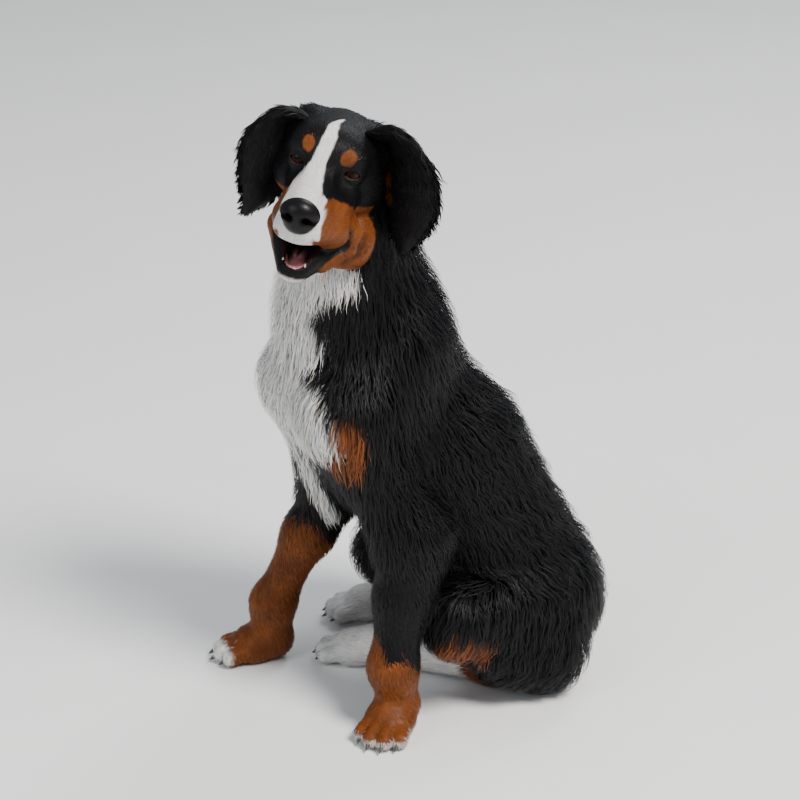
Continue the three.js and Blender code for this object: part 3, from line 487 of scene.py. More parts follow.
def surface_net(field, low, high, step):
    """Places and four-sided faces round where the field is zero, from one place in each cell it crosses."""
    low = np.array(low, float)
    blocks = np.ceil((np.array(high, float) - low) / (step * COARSE)).astype(int)
    corners = COARSE * lattice(blocks)
    rough = field(low + (corners + (COARSE - 1) / 2) * step)
    values = rough.reshape(blocks)
    for axis in range(3):
        values = np.repeat(values, COARSE, axis)
    near = corners[np.abs(rough) < REACH * COARSE * step]
    places = (near[:, None] + lattice([COARSE] * 3)).reshape(-1, 3)
    values[tuple(places.T)] = field(low + places * step)

    inside = values < 0
    size = np.array(inside.shape) - 1
    filled = sum(inside[x:size[0] + x, y:size[1] + y, z:size[2] + z].astype(np.int8) for x, y, z in CORNERS)
    crossed = (filled > 0) & (filled < 8)
    cells = np.argwhere(crossed)
    number = np.full(crossed.shape, -1)
    number[tuple(cells.T)] = np.arange(len(cells))
    at_corner = [values[tuple((cells + corner).T)] for corner in CORNERS]
    total, hits = np.zeros((len(cells), 3)), np.zeros(len(cells))
    for a, b in EDGES:
        change = (at_corner[a] < 0) != (at_corner[b] < 0)
        share = at_corner[a] / np.where(change, at_corner[a] - at_corner[b], 1)
        total += change[:, None] * (CORNERS[a] + share[:, None] * (CORNERS[b] - CORNERS[a]))
        hits += change
    points = low + (cells + total / hits[:, None]) * step

    faces = []
    for axis in range(3):
        ahead, across, along = np.roll(np.eye(3, dtype=int), -axis, axis=0)
        ends = inside.shape - ahead
        first = inside[:ends[0], :ends[1], :ends[2]]
        second = inside[ahead[0]:, ahead[1]:, ahead[2]:]
        edges = np.argwhere(first != second)
        edges = edges[np.all((edges - across - along >= 0) & (edges < size), axis=1)]
        ring = [edges - across - along, edges - along, edges, edges - across]
        quads = np.stack([number[tuple(cell.T)] for cell in ring], -1)
        outward = first[tuple(edges.T)]
        faces.append(np.where(outward[:, None], quads, quads[:, ::-1]))
    for _ in range(PULLS):
        value, gradient = slope(field, points)
        length = np.maximum(dots(gradient, gradient), LEAST_SLOPE)
        points -= gradient * np.clip(value / length, -step / 2, step / 2)[:, None]
    return points, np.concatenate(faces)


# Markings: black, rust and white as weights by place, from a few outlines that are seen in the photo.

# The bib's edges on the dog's left and right and how far back it goes, by height.
BIB_HEIGHTS = [250, 350, 369, 384, 397, 410, 435, 452, 470, 484, 495, 506, 520, 535, 570, 603, 650, 700]
BIB_LEFT = [-60, -50, -10, 80, 124, 129, 127, 118, 92, 56, 42, 66, 74, 66, 56, 84, 84, 70]
BIB_RIGHT_HEIGHTS = [250, 330, 440, 500, 603, 700]
BIB_RIGHT = [-80, -92, -104, -84, -40, -6]
BIB_FRONT = [-110, -118, -132, -146, -176, -206]
# Patches by their middle and three radii, and the white strip down the inside of the right foreleg.
THROAT_PATCH = ([97, -196, 612], [24, 26, 20])
CHEST_SPOTS = [([133, -208, 407], [35, 27, 42]), ([-136, -212, 418], [36, 27, 50])]
BROW_SPOTS = [([-22, -14, 28], [7.5, 15, 9.5]), ([29, -13, 23], [9.5, 16, 11])]
THIGH_SPOT_RADII = [42, 54, 30]
THIGH_SPOTS = {"thigh_left": [166, -58, 98], "thigh_right": [-166, -58, 98]}
LEG_STRIP = Rod([-94, -216, 385], [-74, -142, 205], 18, 9, 0)
# The blaze's edges by height, the muzzle's white by height, and the upper edge of the cheeks' rust by how
# far back it is.
BLAZE_HEIGHTS = [-45, -17, -6, 8, 14, 30, 42, 53]
BLAZE_LEFT = [27, 22, 11, 7, 6, 8, 8, 3]
BLAZE_RIGHT = [-31, -27, -21, -15, -12, -8, -7, -8]
MUZZLE_SIDES = ([-70, -38], [19, 25])
CHEEK_TOP = ([-80, -45, -31, 0, 39, 60], [-14, -18, -26, -42, -47, -54])
CHEEK_REAR = 44


def soft_step(value, width):
    """0 below -width, 1 above width."""
    share = np.clip(value / width, -1, 1)
    return 0.5 + share * (3 - share * share) / 4


def within(value, low, high, width):
    return soft_step(value - low, width) * soft_step(high - value, width)


def ball_mark(points, centre, radii):
    """1 inside an ellipsoid, softened over a millimetre or two."""
    level = np.sqrt(np.sum(((points - centre) / radii) ** 2, axis=1))
    return soft_step((1 - level) * min(radii), 1.2)


def face_marks(places):
    """White and rust over the face, from head places."""
    x, y, z = places.T
    side = np.abs(x)
    tip = np.clip((y - 12) / 24, 0, 1) * np.clip((z - 30) / 10, 0, 1)
    left = np.interp(z, BLAZE_HEIGHTS, BLAZE_LEFT) + 2 * tip
    right = np.interp(z, BLAZE_HEIGHTS, BLAZE_RIGHT) + 12 * tip
    white = within(x, right, left, 1.2) * soft_step(37 - y, 2)
    white = white * soft_step(z + 66 + 0.3 * (y + 60), 2)
    muzzle = soft_step(-(y + 60), 3) * soft_step(np.interp(z, *MUZZLE_SIDES) - side, 2)
    white = np.maximum(white, muzzle * soft_step(-25 - z, 2))
    rear = CHEEK_REAR + 0.25 * (z + 80).clip(-60, 0)
    rust = soft_step(np.interp(y, *CHEEK_TOP) - z, 2) * soft_step(rear - y, 3) * soft_step(z + 136, 4)
    for spot in BROW_SPOTS:
        rust = np.maximum(rust, ball_mark(places, *spot))
    chin = soft_step(-121 - z, 4) * soft_step(20 - side, 5)
    white = np.maximum(white, chin * 0.8)
    dark = soft_step(-96 - z, 3) * soft_step(-42 - y, 5) * (1 - chin)
    dark = np.maximum(dark, soft_step(-LIP_BAND.distance(places), 1.5))
    return white * (1 - dark), rust * (1 - dark)


def body_marks(points):
    """White and rust over the body, from the dog's places."""
    x, y, z = points.T
    left = np.interp(z + 5 * soft_noise(points, 15, 0.4), BIB_HEIGHTS, BIB_LEFT)
    right = np.interp(z, BIB_RIGHT_HEIGHTS, BIB_RIGHT) + 4 * soft_noise(points, 14, 2.9)
    outer = np.clip((x - 70) / 20, 0, 1) * np.clip((500 - z) / 30, 0, 1)
    front = soft_step(np.interp(z, BIB_RIGHT_HEIGHTS, BIB_FRONT) - 50 * outer - y, 5)
    white = within(x, right, left, 3) * front * soft_step(z - 248, 6) * soft_step(720 - z, 6)
    white = np.maximum(white, ball_mark(points, *THROAT_PATCH))
    return white, np.maximum(*[ball_mark(points, *spot) for spot in CHEST_SPOTS])


def leg_marks(points, group):
    """White and rust over the legs and the tail."""
    x, y, z = points.T
    white, rust = np.zeros((2, len(points)))
    if group == "foreleg_left":
        border = 118 - 0.55 * (y + 130) - 26 * np.exp(-((x - 148) / 9) ** 2)
        rust = soft_step(border - z, 5)
        white = soft_step(14 - z, 5) * 0.7
    if group == "foreleg_right":
        rust = soft_step(206 - z - 1.1 * (y + 176).clip(0, 60), 8)
        white = np.maximum(soft_step(-(y + 284), 5), soft_step(-LEG_STRIP.distance(points, 0), 3))
    if group.startswith("hind_foot"):
        side = group.split("_")[-1]
        paw, hock = HIND_PAWS[side][0][:2], HOCKS[side][:2]
        far = np.linalg.norm(points[:, :2] - np.array(paw), axis=1)
        reach = math.dist(paw, hock)
        rust = soft_step(far - 0.8 * reach, 8)
        white = 1 - rust
    if group in THIGH_SPOTS:
        rust = ball_mark(points, THIGH_SPOTS[group], THIGH_SPOT_RADII)
    if group == "tail":
        white = soft_step(60 - y, 6) * soft_step(-200 - x, 6)
    return white, rust


def soft_noise(points, size, turn):
    """A smooth wandering value between about -1 and 1."""
    p = points / size
    return (np.sin(p[:, 0] * 1.3 + p[:, 1] * 0.7 + turn) + np.sin(p[:, 1] * 1.1 - p[:, 2] * 1.7 + 2 * turn)
            + np.sin(p[:, 2] * 1.2 + p[:, 0] * 1.9 + 3 * turn)) / 3


def ragged(points):
    """Small wanderings of place that roughen the edges of the markings."""
    return np.column_stack([soft_noise(points, 4.5, turn) + 0.6 * soft_noise(points, 1.9, turn + 5)
                            for turn in (1.0, 2.3, 4.1)]) * 1.3


def mixed(white, rust, points):
    """The coat's colour for weights of white and rust over black, the rust in softly varied patches."""
    white, rust = white[:, None], rust[:, None]
    patches = 1 + 0.28 * soft_noise(points, 13, 1.7)[:, None] + 0.14 * soft_noise(points, 4, 0.6)[:, None]
    return blended(blended(BLACK, RUST * patches, rust), WHITE, white)


def body_groups(points):
    """The number of the group that each place belongs to."""
    return np.argmin([group.distance(points) for group in GROUPS.values()], axis=0)


def body_colour(points, owner):
    """The coat's colour at places of the groups that own them."""
    marks = np.zeros((2, len(points)))
    for number, name in enumerate(GROUPS):
        own = owner == number
        marks[:, own] = body_marks(points[own]) if name == "trunk" else leg_marks(points[own], name)
    return mixed(*marks, points)


def head_colour(points):
    """The markings of the face, run over into those of the neck, with painted shade darkening the rust in
    the lip and cheek creases.
    """
    places = to_head(points)
    white, rust = face_marks(places)
    # Painted shade: the rust turns towards black near the lip and cheek creases.
    fold = np.minimum(LIP_CREASE.distance(places), CHEEK_CREASE.distance(places))
    rust = rust * (1 - 0.75 * soft_step(2.5 - fold, 4))
    behind = soft_step(places[:, 1] - 50, 4)
    neck_white = body_marks(points)[0]
    low = soft_step(-132 - places[:, 2], 4)
    white = np.maximum(white * (1 - behind), neck_white * np.maximum(behind, low))
    return mixed(white, rust * (1 - np.maximum(behind, low)), points)


def skin_head_colour(points):
    """The head's markings, with bare dark lips and lid rims, and the inside of the mouth painted near black
    as painted shade.
    """
    places = to_head(points)
    colour = head_colour(points + ragged(points))
    mouth = head_parts(places, 1)[1]
    lip = soft_step(3.5 - mouth, 1.2) * soft_step(30 - places[:, 1], 8)
    lip = np.maximum(lip, soft_step(-LIP_BAND.distance(places), 1.5))
    lip = np.maximum(lip, soft_step(0.4 - NOSE.distance(places), 0.8))
    # Painted shade: the inside of the mouth is blended to a near-black colour.
    inside = soft_step(1.0 - mouth, 0.8) * soft_step(30 - places[:, 1], 8)
    rim, pink = np.zeros((2, len(points)))
    for side in SIDES.values():
        opening = eye_opening(places, side)
        rim = np.maximum(rim, soft_step(2.2 - opening, 0.8))
        pink = np.maximum(pink, soft_step(0.4 - opening, 0.4) * (places[:, 2] < EYES_AT[side][2] - 2.8))
    for tone, share in ((LIP, np.maximum(lip, rim)), (LID_PINK, pink), (MOUTH_PAINTED_SHADE, inside)):
        colour = blended(colour, tone, share[:, None])
    return colour


# Meshes.

def add_thing(name, data):
    """A new object in the scene."""
    thing = bpy.data.objects.new(name, data)
    bpy.context.scene.collection.objects.link(thing)
    return thing


def make_piece(name, points, faces, material, colours=None, strands=None, bake=None, normals=None):
    """A smooth piece that rides on the body, from places and faces of three or four corners."""
    mesh = bpy.data.meshes.new(name)
    mesh.vertices.add(len(points))
    mesh.vertices.foreach_set("co", (points * MM + SHIFT).astype(np.float32).ravel())
    corners = np.concatenate([part.ravel() for part in faces])
    mesh.loops.add(len(corners))
    mesh.loops.foreach_set("vertex_index", corners.astype(np.int32))
    starts = np.cumsum([0] + [part.shape[1] for part in faces for _ in range(len(part))])[:-1]
    mesh.polygons.add(len(starts))
    mesh.polygons.foreach_set("loop_start", starts.astype(np.int32))
    mesh.update(calc_edges=True)
    mesh.shade_smooth()
    if colours is None:
        colours = np.ones((len(points), 3))
    tint = mesh.color_attributes.new(name="tint", type="FLOAT_COLOR", domain="POINT")
    tints = np.column_stack([colours, np.ones(len(points))])
    tint.data.foreach_set("color", tints.astype(np.float32).ravel())
    if strands is not None:
        strand = mesh.attributes.new(name="strand", type="FLOAT_VECTOR", domain="POINT")
        strand.data.foreach_set("vector", strands.astype(np.float32).ravel())
    if bake is not None:
        mesh.uv_layers.new(name="OFBake").data.foreach_set("uv", bake[corners].astype(np.float32).ravel())
    if normals is not None:
        mesh.normals_split_custom_set_from_vertices(normals.astype(np.float32))
    mesh.materials.append(material)
    piece = add_thing(name, mesh)
    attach(piece, "root")
    return piece


# Materials.

class Look:
    """A material in the making, with its nodes, links and main shader."""

    def __init__(self, name):
        self.material = bpy.data.materials.new(name)
        self.material.use_nodes = True
        self.nodes, self.links = self.material.node_tree.nodes, self.material.node_tree.links
        self.inputs = self.nodes["Principled BSDF"].inputs

    def put(self, **values):
        """Plain values on the shader, their names with _ for each space."""
        for name, value in values.items():
            self.inputs[name.replace("_", " ")].default_value = value

    def join(self, name, output):
        """A node's output drives one of the shader's values."""
        self.links.new(output, self.inputs[name])

    def wired(self, node, inputs):
        """A node once its inputs have other nodes' outputs or plain values."""
        for name, value in inputs.items():
            if isinstance(value, bpy.types.NodeSocket):
                self.links.new(value, node.inputs[name])
            else:
                node.inputs[name].default_value = value
        return node

    def node(self, kind, inputs):
        return self.wired(self.nodes.new("ShaderNode" + kind), inputs)

    def attribute(self, name, output="Color"):
        """What the mesh stores under a name."""
        node = self.node("Attribute", {})
        node.attribute_name = name
        return node.outputs[output]

    def place(self):
        """The place on the piece, in metres."""
        return self.node("TexCoord", {}).outputs["Object"]

    def noise(self, vector, scale, detail):
        return self.node("TexNoise", {"Vector": vector, "Scale": scale, "Detail": detail}).outputs["Fac"]

    def ranged(self, value, low, high):
        """A value from 0 to 1 stretched between two others."""
        return self.node("MapRange", {"Value": value, "To Min": low, "To Max": high}).outputs["Result"]

    def between(self, value, dark, light):
        """A colour between two others."""
        node = self.node("ValToRGB", {"Fac": value})
        for element, colour in zip(node.color_ramp.elements, (dark, light)):
            element.color = (*colour, 1)
        return node.outputs["Color"]

    def shaded(self, colour, amount):
        """A colour times a grey amount."""
        node = self.nodes.new("ShaderNodeMix")
        node.data_type, node.blend_type = "RGBA", "MULTIPLY"
        return self.wired(node, {"Factor": 1, "A": colour, "B": amount}).outputs["Result"]

    def bump(self, height, strength, distance):
        """Relief by a height, with its distance in metres."""
        node = self.node("Bump", {"Height": height, "Strength": strength, "Distance": distance})
        self.join("Normal", node.outputs["Normal"])


def hair_material(name, stretch, detail, tones, roughness, specular, relief, patches=None):
    """Strands along the hair in its colour and bump, glossier where it is black, patchy if asked."""
    look = Look(name)
    tint = look.attribute("tint")
    stretched = look.node("VectorMath", {0: look.attribute("strand", "Vector"), 1: stretch})
    stretched.operation = "MULTIPLY"
    strands = look.noise(stretched.outputs["Vector"], 1.0, detail)
    colour = look.shaded(tint, look.ranged(strands, *tones))
    if patches:
        colour = look.shaded(colour, look.ranged(look.noise(look.place(), 60, 2.0), *patches))
    look.join("Base Color", colour)
    look.join("Roughness", look.ranged(look.node("RGBToBW", {"Color": tint}).outputs["Val"], *roughness))
    look.put(Specular_IOR_Level=specular)
    look.bump(strands, 0.8, relief)
    return look.material


def leather_material():
    """The nose: black, moist and pebbled, dry where its tint is dark, as inside the nostrils."""
    look = Look("nose_leather")
    place = look.place()
    pebbles = look.node("TexVoronoi", {"Vector": place, "Scale": 620})
    pebbles.feature = "SMOOTH_F1"
    stains = look.noise(place, 120, 3.0)
    look.join("Base Color", look.between(stains, (0.0018, 0.0015, 0.0018), (0.006, 0.005, 0.006)))
    look.join("Roughness", look.ranged(look.attribute("tint", "Fac"), 1.0, 0.38))
    look.put(Specular_IOR_Level=0.13, Coat_Weight=0.06, Coat_Roughness=0.25)
    look.bump(pebbles.outputs["Distance"], 0.22, 0.0006)
    return look.material


def flesh_material(name, dark, light, roughness):
    """A moist, finely grained surface such as a tongue, between two colours, darkened by its tint, which on
    the tongue is painted shade towards the back.
    """
    look = Look(name)
    grain = look.noise(look.place(), 700, 3.0)
    look.join("Base Color", look.shaded(look.between(grain, dark, light), look.attribute("tint")))
    look.join("Roughness", look.ranged(grain, roughness - 0.08, roughness + 0.08))
    look.bump(grain, 0.4, 0.0005)
    return look.material


def eye_material():
    """A dark brown iris and pupil under a wet, clear coat."""
    look = Look("eye_ball")
    fibres = look.ranged(look.noise(look.place(), 1500, 3.0), 0.7, 1.3)
    look.join("Base Color", look.shaded(look.attribute("tint"), fibres))
    look.put(Roughness=0.2, Specular_IOR_Level=0.04, Coat_Weight=0.12, Coat_Roughness=0.03)
    return look.material


COAT = hair_material("coat_hair", stretch=(1.6, 0.05, 7.0), detail=2.0, tones=(0.55, 1.45),
                     roughness=(0.40, 0.72), specular=0.15, relief=0.0008)
HIDE = hair_material("hide", stretch=(1.1, 0.16, 1.0), detail=3.0, tones=(0.5, 1.3),
                     roughness=(0.42, 0.8), specular=0.1, relief=0.0014, patches=(0.8, 1.1))

# The coat's tufts.

# A tuft's shape: its width at the root, where it is widest, how it tapers from there, how far the
# normals of its edges lean out, and its ridge's height to its half width.
ROOT_WIDTH, TUFT_WIDEST, TAPER = 0.6, 0.3, 0.85
EDGE_LEAN = 0.28
RIDGE = 0.28


def blades(paths, uprights, half_width, ridge):
    """Closed blades along paths (tufts, rings, 3): two edges and a ridge at each ring, then a tip."""
    count, rings = paths.shape[:2]
    ahead = np.empty_like(paths)
    ahead[:, 1:-1] = paths[:, 2:] - paths[:, :-2]
    ahead[:, 0] = paths[:, 1] - paths[:, 0]
    ahead[:, -1] = paths[:, -1] - paths[:, -2]
    side = unit_along(np.cross(ahead, uprights))
    top = unit_along(np.cross(side, ahead))
    along = np.linspace(0, 1, rings)
    swell = np.where(along < TUFT_WIDEST, ROOT_WIDTH + (1 - ROOT_WIDTH) * along / TUFT_WIDEST,
                     (1 - np.maximum(along - TUFT_WIDEST, 0) / (1 - TUFT_WIDEST)) ** TAPER)
    wide = half_width[:, None, None] * swell[None, :, None]
    high = ridge[:, None, None] * (0.35 + 0.65 * swell[None, :, None])
    left, right, crown = paths - side * wide, paths + side * wide, paths + top * high
    body = np.stack([left, right, crown], 2)[:, :-1].reshape(count, -1, 3)
    points = np.concatenate([body, paths[:, -1:]], 1)
    flat = uprights * 0.8 + top * 0.2
    leans = np.stack([flat - side * EDGE_LEAN, flat + side * EDGE_LEAN, flat], 2)[:, :-1]
    normals = unit(np.concatenate([leans.reshape(count, -1, 3), uprights[:, -1:]], 1).reshape(-1, 3))
    per = points.shape[1]
    faces = [[0, 1, 2]]
    for ring in range(rings - 2):
        for k in range(3):
            a, b = ring * 3 + k, ring * 3 + (k + 1) % 3
            faces += [[a, a + 3, b], [b, a + 3, b + 3]]
    last = (rings - 2) * 3
    faces += [[last + k, per - 1, last + (k + 1) % 3] for k in range(3)]
    faces = (np.arange(count)[:, None, None] * per + np.array(faces)).reshape(-1, 3)
    share = np.append(np.repeat(along[:-1], 3), 1.0)
    across = np.append(np.tile([-1.0, 1.0, 0.0], rings - 1), 0.0)
    return points.reshape(-1, 3), faces, share, across, per, normals


def scatter(points, faces, per_area, draw):
    """Roots spread evenly over a mesh, as many to an area as per_area says at each face."""
    triangles = faces[:, [[0, 1, 2], [0, 2, 3]]].reshape(-1, 3)
    a, b, c = (points[triangles[:, k]] for k in range(3))
    normal = np.cross(b - a, c - a)
    area = np.linalg.norm(normal, axis=1) / 2
    wanted = np.cumsum(area * per_area((a + b + c) / 3))
    marks = np.arange(int(wanted[-1])) + draw.random(int(wanted[-1]))
    chosen = np.minimum(np.searchsorted(wanted, marks), len(triangles) - 1)
    first, second = draw.random((2, len(chosen)))
    over = first + second > 1
    first[over], second[over] = 1 - first[over], 1 - second[over]
    a, b, c = a[chosen], b[chosen], c[chosen]
    return a + (b - a) * first[:, None] + (c - a) * second[:, None], unit(normal[chosen])


# The lies: which way the hair of each part points at its places.

def trunk_lie(points):
    """Down the chest, and down and back over the back."""
    back = np.clip((points[:, 1] + 150) / 120, 0, 1)
    return np.column_stack([0.12 * np.sign(points[:, 0]), -0.1 + 0.6 * back, -np.ones(len(points))])


def thigh_lie(points):
    """Down and forward, more level near the floor."""
    high = np.clip((points[:, 2] - 50) / 40, 0, 1)
    return np.column_stack([0 * high, -0.9 + 0.55 * high, -np.ones(len(points))])


def foreleg_lie(points):
    """Down and a little back."""
    return np.column_stack([0 * points[:, 0], np.full(len(points), 0.25), -np.ones(len(points))])


def tail_lie(points):
    """Along the nearest bones of the tail, to its tip."""
    marks = np.array(TAIL, float)
    middles, ways = (marks[1:] + marks[:-1]) / 2, marks[1:] - marks[:-1]
    nearness = np.exp(-np.linalg.norm(points[:, None] - middles, axis=2) / 26)
    return nearness @ (ways / np.linalg.norm(ways, axis=1)[:, None])


def hind_foot_lie(side):
    """Down the shank, then along the foot to its toes."""
    foot = paw_place(HIND_PAWS[side], 0, 40, 8) - HOCKS[side]
    foot /= np.linalg.norm(foot)

    def lie(points):
        high = np.clip((points[:, 2] - 60) / 30, 0, 1)[:, None]
        return blended(foot, np.array([0, 0.2, -1]), high)
    return lie


LIES = {"trunk": trunk_lie, "thigh_left": thigh_lie, "thigh_right": thigh_lie, "foreleg_left": foreleg_lie,
        "foreleg_right": foreleg_lie, "tail": tail_lie, "hind_foot_left": hind_foot_lie("left"),
        "hind_foot_right": hind_foot_lie("right")}


def body_lie(points, owner):
    """Which way the hair points at places of the groups that own them."""
    way = np.zeros_like(points)
    for number, name in enumerate(GROUPS):
        own = owner == number
        way[own] = LIES[name](points[own])
    return unit(way)


def flat_to(ways, normals):
    """Ways turned level with the surface."""
    return unit(ways - dots(ways, normals)[:, None] * normals)


def march(roots, normals, lie, outer, lengths, lifts, rings, draw):
    """Paths that follow the lie while they rise from the skin towards the coat's surface."""
    start = outer(roots)
    place = roots - normals * BODY_ROOT_SINK
    paths, uprights = [place], [normals]
    stray = draw.normal(0, 0.16, (len(roots), 3))
    for ring in range(1, rings):
        share = ring / (rings - 1)
        way = flat_to(lie(place) + stray, unit(slope(outer, place)[1]))
        place = place + way * (lengths / (rings - 1))[:, None]
        wanted = start * (1 - lifts * min(1.0, share * 1.6) ** 0.8)
        value, gradient = slope(outer, place)
        up = unit(gradient)
        move = np.clip(value - wanted, -lengths / 5, lengths / 5)
        place = place - up * move[:, None]
        paths.append(place)
        uprights.append(up)
    return np.stack(paths, 1), np.stack(uprights, 1)


def waved(paths, uprights, size, length, draw):
    """Paths that sway in step with their neighbours, more towards their tips."""
    count, rings = paths.shape[:2]
    side = unit_along(np.cross(np.gradient(paths, axis=1), uprights))
    flat = paths.reshape(-1, 3)
    phase = (flat[:, 2] * 2 * math.pi / length + 1.6 * soft_noise(flat, 48, 1.0)).reshape(count, rings)
    phase = phase + draw.normal(0, 0.35, (count, 1))
    grow = np.linspace(0, 1, rings) ** 0.7
    sway = np.sin(phase) * grow * size[:, None]
    lift = np.cos(phase * 0.9 + 1) * grow * size[:, None] * 0.35
    return paths + side * sway[:, :, None] + uprights * lift[:, :, None]


def clumped(paths, every, pull, draw):
    """Paths drawn towards the nearest of a few leading ones, more towards their tips."""
    count, rings = paths.shape[:2]
    leaders = draw.choice(count, max(1, count // every), replace=False)
    tree = KDTree(len(leaders))
    for index, leader in enumerate(leaders):
        tree.insert(Vector(paths[leader, 0]), index)
    tree.balance()
    nearest = leaders[[tree.find(Vector(root))[1] for root in paths[:, 0]]]
    share = (np.linspace(0, 1, rings) ** 1.3)[None, :, None] * pull[:, None, None]
    return paths + (paths[nearest] - paths) * share


def paint(colour, share, across, mottle, draw):
    """Each tuft's colour along it: painted shade at its root and edges, with its own random tone."""
    count = len(colour)
    own = draw.uniform(1 - mottle, 1 + mottle, count)[:, None]
    pale = (colour.mean(1) / WHITE[1]).clip(0, 1)[:, None]
    own = blended(own, 0.75 + 0.25 * own, pale)
    # Painted shade at the root: dark hair runs from 0.66 of its colour at the root to 1.12 at the tip,
    # white from 0.82 to 0.94.
    along = (0.66 + 0.16 * pale) + (0.46 - 0.34 * pale) * share[None, :]
    # Painted shade: each blade's edges are darker than its ridge.
    shade = own * along * (1 - 0.08 * np.abs(across))[None, :]
    warm = draw.normal(0, 0.05, (count, 1, 1)) * np.array([1.0, 0.2, -1.0])
    return (colour[:, None, :] * shade[:, :, None] * (1 + warm)).clip(0, 0.95).reshape(-1, 3)


# The most triangles in a piece of the coat, each tuft's patch on the unwrap, the unwrap's margin, and how
# far apart the tufts lie in the noise of their strands.
TUFT_LIMIT = 195000
BAKE_PATCH, BAKE_MARGIN = 0.003, 0.02
STRAND_SPREAD = 40


def unwrap(points, start, end):
    """How far round and along a line each root lies, as a place in the unwrap inside its margin."""
    start, end = np.array(start, float), np.array(end, float)
    along = (end - start) / np.linalg.norm(end - start)
    across = np.cross(along, [0.31, 0.87, 0.38])
    across /= np.linalg.norm(across)
    beside = np.cross(along, across)
    away = points - start
    turn = np.arctan2(away @ across, away @ beside) / (2 * math.pi) + 0.5
    far = away @ along
    far = (far - far.min()) / max(np.ptp(far), 1e-6)
    return BAKE_MARGIN + (1 - 2 * BAKE_MARGIN) * np.column_stack([turn, far])


def tuft_pieces(name, roots, paths, uprights, half_width, mottle, colour, line, draw):
    """Pieces of the coat, each under the limit of triangles."""
    rings = paths.shape[1]
    triangles = 6 * (rings - 2) + 4
    parts = math.ceil(len(roots) * triangles / TUFT_LIMIT)
    bake = unwrap(roots, *line)
    order = np.argsort(bake[:, 1], kind="stable")
    for part, own in enumerate(np.array_split(order, parts)):
        points, faces, share, across, per, normals = blades(paths[own], uprights[own], half_width[own],
                                                           half_width[own] * RIDGE)
        points[:, 2] = np.maximum(points[:, 2], FLOOR_GAP)
        colours = paint(colour[own], share, across, mottle, draw)
        length = np.linalg.norm(paths[own, -1] - paths[own, 0], axis=1)
        apart = np.repeat(draw.random(len(own))[:, None] * STRAND_SPREAD, per, 1)
        strands = np.stack([across * half_width[own][:, None], share * length[:, None], apart], -1)
        spot = np.column_stack([across, share * 2 - 1]) * BAKE_PATCH / 2
        patches = (bake[own][:, None] + spot[None]).reshape(-1, 2)
        title = f"coat_{name}" if parts == 1 else f"coat_{name}_{part + 1}"
        make_piece(title, points, [faces], COAT, colours, strands.reshape(-1, 3), patches, normals)


# The steps and boxes of the nets, and where the head's net ends below and behind.
SKIN_STEP, HEAD_STEP, NOSE_STEP, MOUTH_STEP = 4.0, 1.5, 0.9, 1.2
SKIN_BOX = ([-262, -310, -4], [200, 300, 804])
HEAD_BOX = ([-78, -112, -150], [78, 132, 66])
NOSE_BOX = ([-28, -115, -58], [28, -76, -4])
TONGUE_BOX = ([-20, -68, -118], [20, 30, -90])
GUMS_BOX = ([-26, -76, -120], [26, -30, -96])
NECK_CUT, REAR_CUT = -128, 128
# The nose's tip, from which the hair of the head runs away.
NOSE_TIP = np.array([0, -104, -30])
# How much darker the skin and how much lighter the ears' leather is than the coat.
SKIN_SHADE, EAR_SHADE = 0.8, 1.2


def head_skin(points):
    """The head's net, ended by a level cut through the neck and one behind the skull."""
    places = to_head(points)
    cut = np.maximum(NECK_CUT - places[:, 2], places[:, 1] - REAR_CUT)
    return np.maximum(head_field(points, 1), cut)


def head_net():
    """The head's net in the dog's places, made level with the head so that its cuts are clean."""
    points, faces = surface_net(lambda places: head_skin(from_head(places)), *HEAD_BOX, HEAD_STEP)
    return from_head(points), faces


def make_skin():
    """The body's and the head's nets as one piece, with a nap that runs away from the nose."""
    body = surface_net(lambda points: body_field(points, 1), *SKIN_BOX, SKIN_STEP)
    head = head_net()
    points = np.concatenate([body[0], head[0]])
    faces = np.concatenate([body[1], head[1] + len(body[0])])
    colours = np.concatenate([body_colour(body[0], body_groups(body[0])), skin_head_colour(head[0])])
    places = to_head(points) - NOSE_TIP
    turn = np.arctan2(places[:, 0], places[:, 2])
    nap = np.column_stack([turn * 40, np.linalg.norm(places, axis=1), places[:, 1] * 0.02])
    skin = make_piece("skin", points, [faces], HIDE, colours * SKIN_SHADE, nap)
    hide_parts(*[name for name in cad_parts
                        if name not in ("eye_left", "eye_right", "nose", "tongue")])
    return body, head


def local_depth(points):
    """How deep the coat is over places on the skin."""
    return -body_field(points, 0)


SPLITS = {
    "trunk": [("neck", lambda p: p[:, 2] > 590),
              ("chest", lambda p: (p[:, 2] <= 590) & (p[:, 1] < -70)),
              ("back", lambda p: (p[:, 2] <= 590) & (p[:, 1] >= -70) & (p[:, 2] > 200)),
              ("rump", lambda p: (p[:, 2] <= 200) & (p[:, 1] >= -70))]}
# Over what depth the hair is long, the ring of a tuft whose place gives its colour, and the fewest tufts
# worth a piece.
LONG = 9
SHOWN_RING = 2
FEWEST = 20
# Tufts to a square millimetre of skin by the depth of the coat, and how far their roots lie under the skin.
BODY_DENSITY = ([2, 4, 9, 14, 22], [0.10, 0.090, 0.064, 0.054, 0.050])
BODY_ROOT_SINK = 2
# How far the waves of the hair are apart, and how many tufts draw together.
BODY_WAVE, BODY_CLUMP = 34, 12
HEAD_WAVE, HEAD_CLUMP = 40, 8
EAR_WAVE, EAR_CLUMP = 26, 10
# Lengths and half widths of tufts: the least, and what each millimetre of the coat's depth or length adds.
BODY_LENGTH, BODY_WIDTH = (6, 2.4), (0.72, 0.022)
HEAD_WIDTH, EAR_WIDTH = (0.42, 0.032), (0.6, 0.026)
# How much tufts differ in shade.
MOTTLE, HEAD_MOTTLE = 0.24, 0.16


